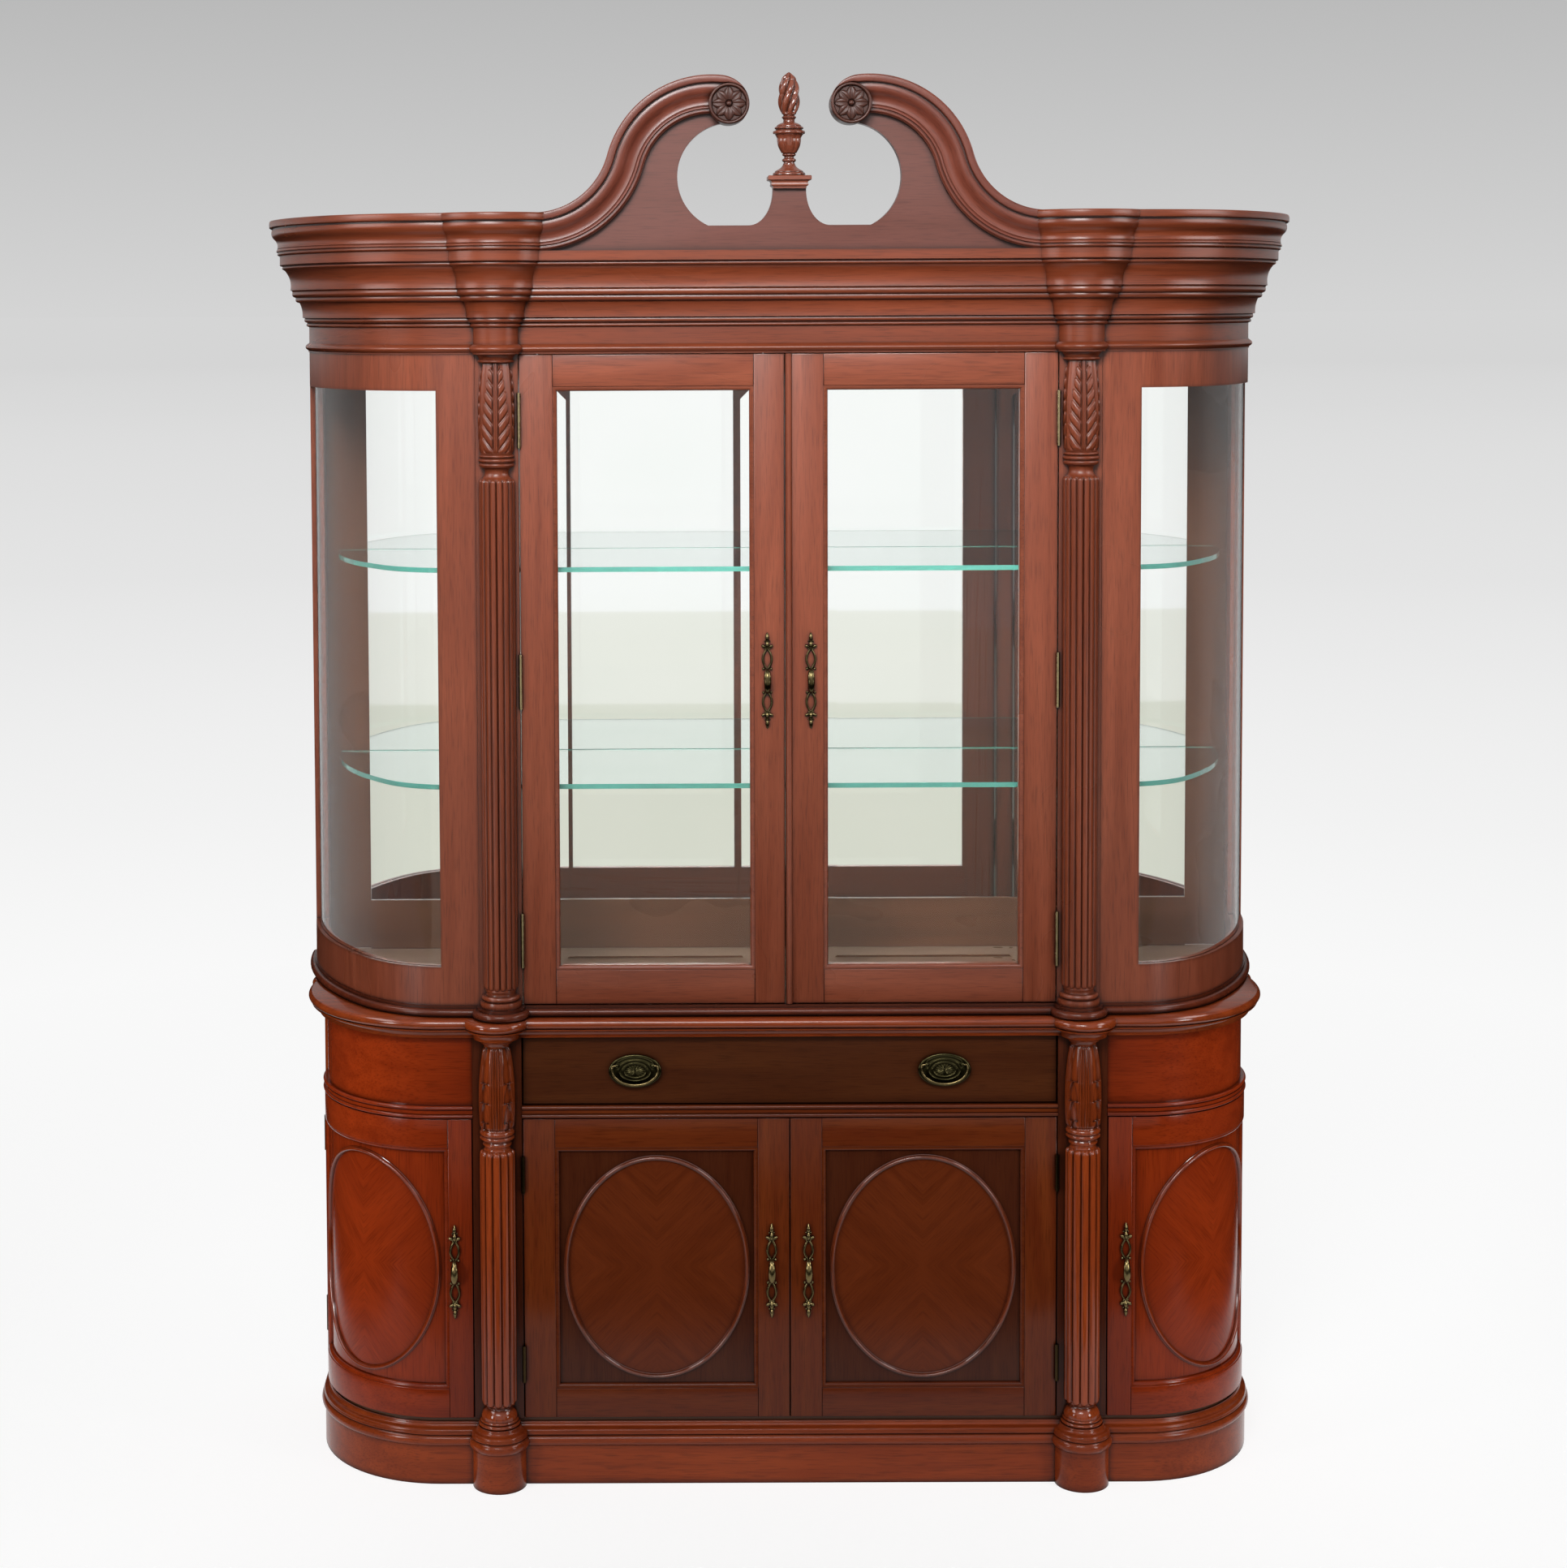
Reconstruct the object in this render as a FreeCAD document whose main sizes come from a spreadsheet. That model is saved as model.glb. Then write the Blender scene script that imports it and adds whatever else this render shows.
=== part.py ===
"""China cabinet: a bow-ended base with drawer and doors under a glazed hutch with a swan-neck pediment.

Millimetres, +Z up, front towards -Y, floor at Z 0, centred on its own width and depth.
"""
import FreeCAD, Part
import math
import os
import re

Vector = FreeCAD.Vector
UP = Vector(0, 0, 1)

SIZES = {
    # Depth from the door faces to the wall, and the plan of the two bowed ends
    "case_depth": 405,
    "end_flat": 55.5,
    "end_radius": 205,
    "nose_flat": 42,
    "nose_radius": 190,
    "hutch_overhang": 36,
    # Board thicknesses
    "board": 18,
    "back_panel": 8,
    "frame_thickness": 21,
    "panel_thickness": 6,
    "panel_setback": 8,
    # Fits and running gaps
    "door_gap": 1.5,
    "slide_gap": 0.3,
    "pin_gap": 0.05,
    "groove_gap": 0.3,
    # Plinth and base moulding
    "plinth_height": 88,
    "plinth_reach": 5,
    "plinth_wall": 25,
    "drum_height": 57,
    "drum_radius": 44,
    "moulding_height": 43,
    "moulding_reach": 14,
    "floor_setback": 8,
    # Base front
    "base_opening": 863,
    "base_post_width": 80,
    "base_post_depth": 60,
    "base_door_height": 492,
    "base_stile": 58,
    "base_rail": 55,
    "waist_height": 20,
    "waist_depth": 56,
    "waist_reach": 3,
    "drawer_front_height": 111,
    "drawer_setback": 6,
    "drawer_front_thickness": 20,
    "drawer_box_depth": 330,
    "drawer_side_clear": 14.5,
    "drawer_side": 12,
    "drawer_bottom": 6,
    "drawer_box_height": 90,
    "drawer_guide_height": 30,
    "base_shelf_rise": 239,
    # Base ends
    "end_stile": 46,
    "end_door_depth": 226.5,
    "rear_gap": 2,
    "rear_post_inset": 3,
    "rear_post_width": 45,
    "rear_post_depth": 68,
    "rear_post_round": 10,
    "side_inset": 7,
    # Oval beads on the door panels
    "oval_margin": 7,
    "oval_width": 9,
    "oval_proud": 6,
    # Countertop
    "counter_thickness": 33,
    "counter_reach": 26,
    "counter_lobe": 56,
    "rear_lobe": 48,
    "rear_lobe_inset": 17,
    "cove_height": 10,
    # Columns
    "column_proud": 3,
    "bump_core": 36,
    "shaft_radius": 28.5,
    "vase_radius": 25,
    "ring_radius": 28,
    "scotia_radius": 21,
    "vase_foot_radius": 27,
    "vase_swell": 4.5,
    "shaft_taper": 1,
    "vase_height": 150,
    "ring_height": 15,
    "scotia_height": 21,
    "foot_height": 14,
    "foot_neck_height": 20,
    # Hutch front
    "hutch_base_height": 18,
    "hutch_base_reach": 11,
    "opening_step": 5,
    "hutch_post_width": 69,
    "hutch_post_depth": 45,
    "hutch_door_height": 1043,
    "hutch_stile": 60,
    "meeting_stile": 55.5,
    "hutch_top_rail": 58,
    "hutch_bottom_rail": 62,
    "astragal_width": 11,
    "astragal_proud": 5,
    "end_frame_stile": 62,
    "rear_stile_degrees": 5,
    "glass_thickness": 5,
    "glass_setback": 7,
    "glass_rabbet": 7,
    # Hutch inside
    "mirror_thickness": 4,
    "mirror_inset": 90,
    "shelf_thickness": 8,
    "shelf_rise": 342,
    "shelf_spacing": 352,
    "shelf_end_gap": 24,
    "shelf_back_gap": 3,
    "shelf_pin_radius": 3,
    "shelf_pin_length": 22,
    # Cornice members, from the bottom up
    "architrave_height": 15,
    "architrave_reach": 7.5,
    "frieze_height": 26,
    "taenia_height": 15,
    "taenia_reach": 6,
    "band_height": 25,
    "band_reach": 11,
    "ovolo_height": 22,
    "ovolo_reach": 27,
    "hollow_height": 36,
    "hollow_reach": 40,
    "corona_height": 23,
    "corona_reach": 46,
    "crown_height": 59,
    "crown_fillet": 3,
    "crown_reach": 66,
    "cornice_wall": 24,
    # Pediment
    "neck_inset": 63,
    "neck_low_radius": 119.7,
    "neck_run": 277.5,
    "neck_high_radius": 168,
    "neck_end_degrees": 13,
    "tympanum_thickness": 22,
    "tympanum_reach": 38,
    "tympanum_hole_inset": 31.5,
    "tympanum_hole_z": 114,
    "tympanum_hole_radius": 84,
    "tympanum_sill": 38,
    "pedestal_foot_width": 112,
    "pedestal_top_width": 52,
    "pedestal_height": 95,
    "rosette_radius": 32,
    "rosette_thickness": 16,
    "rosette_inset": 28,
    "rosette_z": 226,
    "block_width": 68,
    "block_height": 20,
    "finial_foot_radius": 25,
    "finial_foot_height": 16,
    "finial_stem_radius": 9,
    "finial_stem_height": 21,
    "urn_radius": 25,
    "urn_height": 29,
    "lid_height": 15,
    "flame_neck_radius": 11.5,
    "flame_neck_height": 16,
    "flame_radius": 14.5,
    "flame_height": 65,
    "flame_tip_radius": 1,
    # Hardware
    "knuckle_radius": 3.2,
    "knuckle_stand": 0.4,
    "hinge_pin_radius": 1.2,
    "hinge_leaf": 0.5,
    "hinge_leaf_depth": 16,
    "hutch_hinge_height": 88,
    "base_hinge_height": 60,
    "hinge_inset": 60,
    "pull_length": 156,
    "pull_width": 15,
    "pull_plate": 2,
    "pull_bow": 15,
    "pull_rod": 2.6,
    "pull_inset": 29,
    "hutch_pull_drop": 521,
    "base_pull_drop": 250,
    "plate_width": 85,
    "plate_height": 54,
    "plate_thickness": 2,
    "plate_inset": 182.5,
    "post_spacing": 58,
    "post_radius": 5,
    "post_length": 15,
    "post_rise": 9,
    "bail_rod": 2.2,
    "bail_width": 76,
    "bail_drop": 32,
    "bail_corner": 22,
    "bail_pin_corner": 3.4,
}

doc = FreeCAD.newDocument("china_cabinet")
sheet = doc.addObject("Spreadsheet::Sheet", "Sizes")
for row, (alias, value) in enumerate(SIZES.items(), start=1):
    sheet.set(f"A{row}", alias)
    sheet.set(f"B{row}", str(value))
    sheet.setAlias(f"B{row}", alias)
doc.recompute()

# Planes and levels that several pieces share, as expressions of the sheet's sizes
FACE = "((column_proud + bump_core + crown_reach - case_depth) / 2)"
BACK = f"({FACE} + case_depth)"
INNER_BACK = f"({BACK} - back_panel)"
FLOOR_TOP = "(plinth_height + board)"
BASE_DOOR_Z = f"({FLOOR_TOP} + door_gap)"
WAIST_Z = f"({BASE_DOOR_Z} + base_door_height + door_gap)"
WAIST_TOP = f"({WAIST_Z} + waist_height)"
DRAWER_Z = f"({WAIST_TOP} + door_gap)"
COUNTER_Z = f"({DRAWER_Z} + drawer_front_height + door_gap)"
HUTCH_Z = f"({COUNTER_Z} + counter_thickness)"
HUTCH_FLOOR = f"({HUTCH_Z} + hutch_base_height)"
HUTCH_DOOR_Z = f"({HUTCH_FLOOR} + door_gap)"
CORNICE_Z = f"({HUTCH_DOOR_Z} + hutch_door_height + door_gap)"
LOWER_CORNICE = "architrave_height + frieze_height + taenia_height + band_height"
CROWN_Z = f"({CORNICE_Z} + {LOWER_CORNICE} + ovolo_height + hollow_height + corona_height)"
BASE_POST_X = "(base_opening / 2)"
BASE_POST_OUT = f"({BASE_POST_X} + base_post_width)"
END_ARC_X = f"({BASE_POST_OUT} + end_flat)"
REAR_POST_X = f"({END_ARC_X} + end_radius - rear_post_inset)"
HUTCH_POST_X = "((base_opening - opening_step) / 2)"
HUTCH_POST_OUT = f"({HUTCH_POST_X} + hutch_post_width)"
NOSE_X = f"({HUTCH_POST_OUT} + nose_flat)"
HUTCH_HALF = f"({REAR_POST_X} + hutch_overhang)"
REAR_POST_Y = f"({FACE} + end_door_depth + rear_gap)"
REAR_POST_END = f"({REAR_POST_Y} + rear_post_depth)"

nodes = []


def num(expression):
    """Value of an expression of the sheet's sizes."""
    return float(sheet.evalExpression(expression))


def bind(item, prop, expression):
    """Tie a property to the sheet."""
    item.setExpression(prop, re.sub(r"[a-z][a-z_]*", r"Sizes.\g<0>", expression))


def node(label, item):
    """Mark an object as a finished sub-part."""
    item.Label = label
    nodes.append(item)
    return item


def box(name, x_span, y_span, z_span):
    """Rectangular board between two expressions on each axis."""
    item = doc.addObject("Part::Box", name)
    spans = (("Length", "x", x_span), ("Width", "y", y_span), ("Height", "z", z_span))
    for side, axis, (low, high) in spans:
        bind(item, side, f"({high}) - ({low})")
        bind(item, f"Placement.Base.{axis}", low)
    return item


def fuse(name, items):
    item = doc.addObject("Part::MultiFuse", name)
    item.Shapes = items
    return item


def cut(name, base, tool):
    item = doc.addObject("Part::Cut", name)
    item.Base = base
    item.Tool = tool
    return item


def mirrored(name, source):
    """Left-hand copy of a right-hand object."""
    item = doc.addObject("Part::Mirroring", name)
    item.Source = source
    item.Normal = Vector(1, 0, 0)
    return item


def both(label, source):
    """One node that holds a right-hand object and its left-hand twin."""
    item = doc.addObject("Part::Compound", label)
    item.Links = [source, mirrored(label + "_twin", source)]
    return node(label, item)


def feature(name, shape):
    """Object with a shape from the curved-work functions below."""
    item = doc.addObject("Part::Feature", name)
    item.Shape = shape
    return item


face = num(FACE)
back = num(BACK)
inner_back = num(INNER_BACK)
arc_x = num(END_ARC_X)
end_radius = num("end_radius")
nose_x = num(NOSE_X)
nose_radius = num("nose_radius")
reach = num(f"{HUTCH_HALF} - {NOSE_X}")
depth = num("case_depth")
# The hutch end is a tight nose arc that runs into a wide flank arc square to the wall
flank_radius = (reach ** 2 + depth ** 2 - 2 * depth * nose_radius) / (2 * (reach - nose_radius))
nose_turn = math.degrees(math.asin((flank_radius - reach) / (flank_radius - nose_radius)))
end_centre = Vector(arc_x, face + end_radius, 0)
nose_centre = Vector(nose_x, face + nose_radius, 0)
flank_centre = Vector(nose_x + reach - flank_radius, back, 0)
base_column = Vector(num(f"{BASE_POST_X} + base_post_width / 2"), face - num("column_proud"), 0)
hutch_column = Vector(num(f"{HUTCH_POST_X} + hutch_post_width / 2"), face - num("column_proud"), 0)


def wire(points, place):
    """Closed wire through corners; a point with a third value is the middle of an arc."""
    ring = points + points[:1]
    edges = []
    index = 0
    while index < len(points):
        start = place(*ring[index][:2])
        follow = ring[index + 1]
        if len(follow) == 3:
            stop = ring[index + 2]
            edges.append(Part.Arc(start, place(*follow[:2]), place(*stop[:2])).toShape())
            index += 2
        else:
            edges.append(Part.makeLine(start, place(*follow)))
            index += 1
    return Part.Wire(edges)


def bow(first, last, amount):
    """Middle of an arc between two points, pushed to the right of the way by a share of the chord."""
    across = last[0] - first[0]
    along = last[1] - first[1]
    middle = ((first[0] + last[0]) / 2, (first[1] + last[1]) / 2)
    return (middle[0] + amount * along, middle[1] - amount * across, "arc")


def closed(profile, inner):
    """Moulding section: an outer profile from bottom to top, closed at an inner reach."""
    return profile + [(inner, profile[-1][1]), (inner, profile[0][1])]


def band(low, high, inner, outer):
    """Plain rectangular section."""
    return [(outer, low), (outer, high), (inner, high), (inner, low)]


def straight(section, left, right):
    """Section run along the flat front."""
    flat = Part.Face(wire(section, lambda out, z: Vector(left, face - out, z)))
    return flat.extrude(Vector(right - left, 0, 0))


def swung(section, centre, radius, start, stop):
    """Section swung about an upright axis, with angles from the front towards +X."""
    flat = Part.Face(wire(section, lambda out, z: Vector(centre.x, centre.y - radius - out, z)))
    flat.rotate(centre, UP, start)
    return flat.revolve(centre, UP, stop - start)


def lathe(outline, centre):
    """Turned solid from radius and height pairs, bottom to top."""
    section = outline + [(0, outline[-1][1]), (0, outline[0][1])]
    return swung(section, centre, 0, 0, 360)


FUSE_SLACK = 0.001


def joined(solids, slack=0):
    """One solid from several; slack lets surfaces that nearly coincide meet."""
    return solids[0].multiFuse(solids[1:], slack).removeSplitter()


def with_twin(solid):
    return [solid, solid.mirror(Vector(0, 0, 0), Vector(1, 0, 0))]


def base_end(section, start, stop):
    return swung(section, end_centre, end_radius, start, stop)


def hutch_end(section, start, stop):
    """Section run round the right hutch end, from a nose angle to a flank angle."""
    nose = swung(section, nose_centre, nose_radius, start, nose_turn)
    flank = swung(section, flank_centre, flank_radius, nose_turn, stop)
    return joined([nose, flank])


def slab(left, right, front, rear, low, high):
    return Part.makeBox(right - left, rear - front, high - low, Vector(left, front, low))


def half_space(front, low, high):
    """Block behind a plane, for trimming."""
    room = 4 * depth
    return slab(-room, room, front, front + room, low, high)


def base_plate(out, low, high, rear):
    """Board of the base's plan, offset from the door faces."""
    section = band(low, high, -end_radius, out)
    side = arc_x + end_radius + out
    middle = slab(-side, side, face + end_radius, rear, low, high)
    front = straight(section, -arc_x, arc_x)
    return joined([front, middle] + with_twin(base_end(section, 0, 90)))


def hutch_plate(out, low, high, rear):
    """Board of the hutch's plan, offset from the door faces."""
    inner = band(low, high, -nose_radius / 2, out)
    ends = with_twin(hutch_end(inner, 0, 90))
    front = straight(inner, -nose_x, nose_x)
    core = slab(-nose_x, nose_x, face + nose_radius / 3, back, low, high)
    fill_points = [(nose_x, face + nose_radius / 3)]
    turn = math.radians(nose_turn)
    waist = nose_radius - nose_radius / 3
    fill_points.append((nose_centre.x + waist * math.sin(turn), nose_centre.y - waist * math.cos(turn)))
    fill_points.append((flank_centre.x + flank_radius - nose_radius / 3, back))
    fill_points.append((nose_x, back))
    fill = Part.Face(wire(fill_points, lambda x, y: Vector(x, y, low))).extrude(Vector(0, 0, high - low))
    whole = joined([front, core] + ends + with_twin(fill))
    return whole.cut(half_space(rear, low, high)).removeSplitter()


# Plinth: a hollow bow-ended frame with a round drum under each column
plinth_height = num("plinth_height")
drum_height = num("drum_height")
plinth_out = num("plinth_reach")
plinth_in = plinth_out - num("plinth_wall")
drum = Part.makeCylinder(num("drum_radius"), drum_height, base_column)
shell = base_plate(plinth_out, 0, plinth_height, back)
hollow = base_plate(plinth_in, 0, plinth_height, back - num("plinth_wall"))
node("plinth", feature("plinth", joined([shell] + with_twin(drum)).cut(joined([hollow]))))

# Base moulding: band, ogee, bead and hollow round the front, the ends and the column feet
moulding_out = num("moulding_reach")
moulding_z = drum_height
moulding_top = num("drum_height + moulding_height")
fillet = num("moulding_height") / 4
ogee_foot = (moulding_out, moulding_z + fillet)
ogee_top = (moulding_out / 2, moulding_z + 2.2 * fillet)
bead_top = (moulding_out / 2, moulding_z + 2.9 * fillet)
hollow_top = (num("plinth_reach") / 2, moulding_top - fillet / 4)
moulding_profile = [
    (moulding_out, moulding_z), ogee_foot, bow(ogee_foot, ogee_top, 0.2), ogee_top,
    bow(ogee_top, bead_top, 0.5), bead_top, bow(bead_top, hollow_top, -0.2), hollow_top,
    (hollow_top[0], moulding_top),
]
setback = num("floor_setback")
moulding_section = closed(moulding_profile, -setback)
moulding_ring = joined(
    [straight(moulding_section, -arc_x, arc_x)]
    + with_twin(base_end(moulding_section, 0, 90))
    + with_twin(swung(closed(moulding_profile, -num("bump_core")), base_column, num("bump_core"), 0, 360))
)
side_x = arc_x + end_radius
side_points = [(side_x + out, z) + tuple(rest) for out, z, *rest in moulding_section]
side_face = Part.Face(wire(side_points, lambda x, z: Vector(x, face + end_radius, z)))
side_run = side_face.extrude(Vector(0, depth - end_radius, 0))
moulding_ring = joined([moulding_ring] + with_twin(side_run))
moulding_ring = moulding_ring.cut(base_plate(plinth_out, 0, plinth_height, back))
moulding_ring = moulding_ring.cut(base_plate(-setback, 0, moulding_top, back))
node("base_moulding", feature("base_moulding", moulding_ring.removeSplitter()))

# Floor of the base
floor_top = num(FLOOR_TOP)
node("base_floor", feature("base_floor", base_plate(-setback, plinth_height, floor_top, inner_back)))

# Uprights of the base: front posts, partitions behind them, rear posts and side boards
both("base_posts", box("base_post", (BASE_POST_X, BASE_POST_OUT),
                       (FACE, f"{FACE} + base_post_depth"), (FLOOR_TOP, COUNTER_Z)))
both("base_partitions", box("base_partition", (f"{BASE_POST_OUT} - board", BASE_POST_OUT),
                            (f"{FACE} + base_post_depth", INNER_BACK), (FLOOR_TOP, COUNTER_Z)))
rear_square = box("rear_square", (f"{REAR_POST_X} - rear_post_width", REAR_POST_X),
                  (REAR_POST_Y, REAR_POST_END), (FLOOR_TOP, COUNTER_Z))
rear_round = doc.addObject("Part::Cylinder", "rear_round")
bind(rear_round, "Radius", "rear_post_round")
bind(rear_round, "Height", f"{COUNTER_Z} - {FLOOR_TOP}")
bind(rear_round, "Placement.Base.x", REAR_POST_X)
bind(rear_round, "Placement.Base.y", f"{REAR_POST_Y} + rear_post_depth / 2")
bind(rear_round, "Placement.Base.z", FLOOR_TOP)
both("rear_posts", fuse("rear_post", [rear_square, rear_round]))
SIDE_X = f"({REAR_POST_X} - side_inset)"
both("base_sides", box("base_side", (f"{SIDE_X} - board", SIDE_X),
                       (REAR_POST_END, INNER_BACK), (FLOOR_TOP, COUNTER_Z)))
node("base_back", box("base_back", (f"-{SIDE_X}", SIDE_X),
                      (INNER_BACK, BACK), ("plinth_height", COUNTER_Z)))
BASE_SHELF_Z = f"({FLOOR_TOP} + base_shelf_rise)"
node("base_shelf", box("base_shelf", (f"board - {BASE_POST_OUT}", f"{BASE_POST_OUT} - board"),
                       (f"{FACE} + base_post_depth", INNER_BACK), (BASE_SHELF_Z, f"{BASE_SHELF_Z} + board")))

# Waist rail between the doors and the drawer, with a round nose
waist_z = num(WAIST_Z)
waist_top = num(WAIST_TOP)
waist_out = num("waist_reach")
nose_low = (-waist_out, waist_z)
nose_high = (-waist_out, waist_top)
waist_profile = [nose_low, bow(nose_low, nose_high, 2 * waist_out / num("waist_height")), nose_high]
waist_in = -num("waist_depth")
post_in = num(BASE_POST_X)
node("waist_rail", feature("waist_rail", straight(closed(waist_profile, waist_in), -post_in, post_in)))

# Curved rail and frieze over each end door
end_wall = num("frame_thickness")
post_out = num(BASE_POST_OUT)
behind_end = half_space(num(REAR_POST_Y), 0, num(COUNTER_Z))
END_SWING = 105


def end_board(section):
    """Board from the front post round the end to the rear post."""
    run = joined([straight(section, post_out, arc_x), base_end(section, 0, END_SWING)])
    return run.cut(behind_end)


both("end_waist_rails", feature("end_waist_rail", end_board(closed(waist_profile, -end_wall))))
frieze = band(waist_top, num(COUNTER_Z), -end_wall, -num("drawer_setback"))
both("end_friezes", feature("end_frieze", end_board(frieze)))

# Countertop: round edge over a hollow, lobed over the columns and the rear posts
counter_z = num(COUNTER_Z)
hutch_z = num(HUTCH_Z)
counter_out = num("counter_reach")
cove_height = num("cove_height")
cove_foot = (counter_out / 4, counter_z)
cove_top = (counter_out * 0.7, counter_z + cove_height)
edge_low = (counter_out * 0.8, counter_z + cove_height)
edge_high = (counter_out * 0.85, hutch_z)
edge_bow = 0.15 * counter_out / (num("counter_thickness") - cove_height) + 0.1
counter_profile = [
    cove_foot, bow(cove_foot, cove_top, -0.2), cove_top, edge_low,
    bow(edge_low, edge_high, edge_bow), edge_high,
]
counter_lobe = num("counter_lobe") - counter_out
rear_lobe = num("rear_lobe") - counter_out
rear_axis_x = num(f"{REAR_POST_X} - rear_lobe_inset")
rear_axis = Vector(rear_axis_x, num(f"{REAR_POST_Y} + rear_post_depth / 2"), 0)
straight_side = num(SIDE_X)
counter_section = closed(counter_profile, -end_radius)
side_points = [(straight_side + out / 2, z) + tuple(rest) for out, z, *rest in counter_section]
side_face = Part.Face(wire(side_points, lambda x, z: Vector(x, rear_axis.y, z)))
counter = joined(
    [straight(closed(counter_profile, -depth), -arc_x, arc_x)]
    + with_twin(base_end(counter_section, 0, END_SWING))
    + with_twin(slab(0, arc_x + end_radius / 2, face + end_radius, back, counter_z, hutch_z))
    + with_twin(swung(closed(counter_profile, -counter_lobe), base_column, counter_lobe, 0, 360))
    + with_twin(swung(closed(counter_profile, -rear_lobe), rear_axis, rear_lobe, 0, 360))
    + with_twin(side_face.extrude(Vector(0, back - rear_axis.y, 0))),
    FUSE_SLACK,
)
node("countertop", feature("countertop", counter))


def column(centre, low, high):
    """Engaged turned column: foot, neck, tapered shaft, scotia, ring and vase, flat behind."""
    shaft = num("shaft_radius")
    scotia = num("scotia_radius")
    ring = num("ring_radius")
    vase = num("vase_radius")
    vase_foot = num("vase_foot_radius")
    shaft_foot = shaft - num("shaft_taper")
    foot_top = low + num("foot_height")
    shaft_low = foot_top + num("foot_neck_height")
    vase_low = high - num("vase_height")
    ring_low = vase_low - num("ring_height")
    shaft_high = ring_low - num("scotia_height")
    outline = [
        (ring, low), bow((ring, low), (ring, foot_top), 0.4), (ring, foot_top),
        (scotia, foot_top), bow((scotia, foot_top), (shaft_foot, shaft_low), -0.15), (shaft_foot, shaft_low),
        (shaft, shaft_high), (scotia, shaft_high),
        bow((scotia, shaft_high), (scotia, ring_low), -0.15), (scotia, ring_low),
        (ring, ring_low), (ring, vase_low), (vase_foot, vase_low),
        bow((vase_foot, vase_low), (vase, high), num("vase_swell / vase_height")), (vase, high),
    ]
    solid = lathe(outline, centre)
    return solid.cut(half_space(face, low, high))


both("base_columns", feature("base_column", column(base_column, moulding_top, counter_z)))
hutch_floor = num(HUTCH_FLOOR)
cornice_z = num(CORNICE_Z)
both("hutch_columns", feature("hutch_column", column(hutch_column, hutch_floor, cornice_z)))

# Hutch base: a torus moulding round a floor board
hutch_out = num("hutch_base_reach")
torus_low = (hutch_out / 2, hutch_z)
torus_high = (hutch_out / 2, hutch_floor - num("hutch_base_height") / 4)
hutch_profile = [torus_low, bow(torus_low, torus_high, 0.4), torus_high, (hutch_out / 4, torus_high[1]),
                 (hutch_out / 4, hutch_floor)]
hutch_section = closed(hutch_profile, -setback)
bump_core = num("bump_core")
hutch_ring = joined(
    [straight(hutch_section, -nose_x, nose_x)]
    + with_twin(hutch_end(hutch_section, 0, 90))
    + with_twin(swung(closed(hutch_profile, -bump_core), hutch_column, bump_core, 0, 360))
)
hutch_ring = hutch_ring.cut(hutch_plate(-setback, hutch_z, hutch_floor, back))
node("hutch_moulding", feature("hutch_moulding", hutch_ring))
node("hutch_floor", feature("hutch_floor", hutch_plate(-setback, hutch_z, hutch_floor, inner_back)))

# Posts behind the hutch columns
both("hutch_posts", box("hutch_post", (HUTCH_POST_X, HUTCH_POST_OUT),
                        (FACE, f"{FACE} + hutch_post_depth"), (HUTCH_FLOOR, CORNICE_Z)))

# Fixed glazed ends: a bent frame with a bent pane in its groove
frame_in = -num("frame_thickness")
hutch_post_out = num(HUTCH_POST_OUT)
stile_angle = math.degrees(math.asin((hutch_post_out + num("end_frame_stile") - nose_x) / nose_radius))
rear_angle = 90 - num("rear_stile_degrees")
window_low = num(f"{HUTCH_FLOOR} + hutch_bottom_rail")
window_high = num(f"{CORNICE_Z} - hutch_top_rail")
glass_out = -num("glass_setback")
glass_in = glass_out - num("glass_thickness")
rabbet = num("glass_rabbet")
rabbet_angle = math.degrees(rabbet / nose_radius)
rear_rabbet = math.degrees(rabbet / flank_radius)
groove_gap = num("groove_gap")


def end_pane(gap):
    """Bent pane, or the groove for it when a gap is given."""
    section = band(window_low - rabbet - gap, window_high + rabbet + gap, glass_in - gap, glass_out + gap)
    swing = math.degrees(gap / nose_radius)
    return hutch_end(section, stile_angle - rabbet_angle - swing, rear_angle + rear_rabbet + swing)


wall_section = band(hutch_floor, cornice_z, frame_in, 0)
window_section = band(window_low, window_high, 2 * frame_in, -frame_in)
end_frame = joined([straight(wall_section, hutch_post_out, nose_x), hutch_end(wall_section, 0, 90)])
end_frame = end_frame.cut(hutch_end(window_section, stile_angle, rear_angle)).cut(end_pane(groove_gap))
end_frame = end_frame.cut(half_space(inner_back, hutch_floor, cornice_z))
both("end_frames", feature("end_frame", end_frame))
both("end_glasses", feature("end_glass", end_pane(0)))

# Back of the hutch, with its mirror
hutch_half = nose_x + reach
node("hutch_back", box("hutch_back", (f"-{HUTCH_HALF}", HUTCH_HALF),
                       (INNER_BACK, BACK), (HUTCH_FLOOR, CORNICE_Z)))
node("back_mirror", box("back_mirror", (f"mirror_inset - {HUTCH_HALF}", f"{HUTCH_HALF} - mirror_inset"),
                        (f"{INNER_BACK} - mirror_thickness", INNER_BACK), (HUTCH_FLOOR, CORNICE_Z)))

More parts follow.
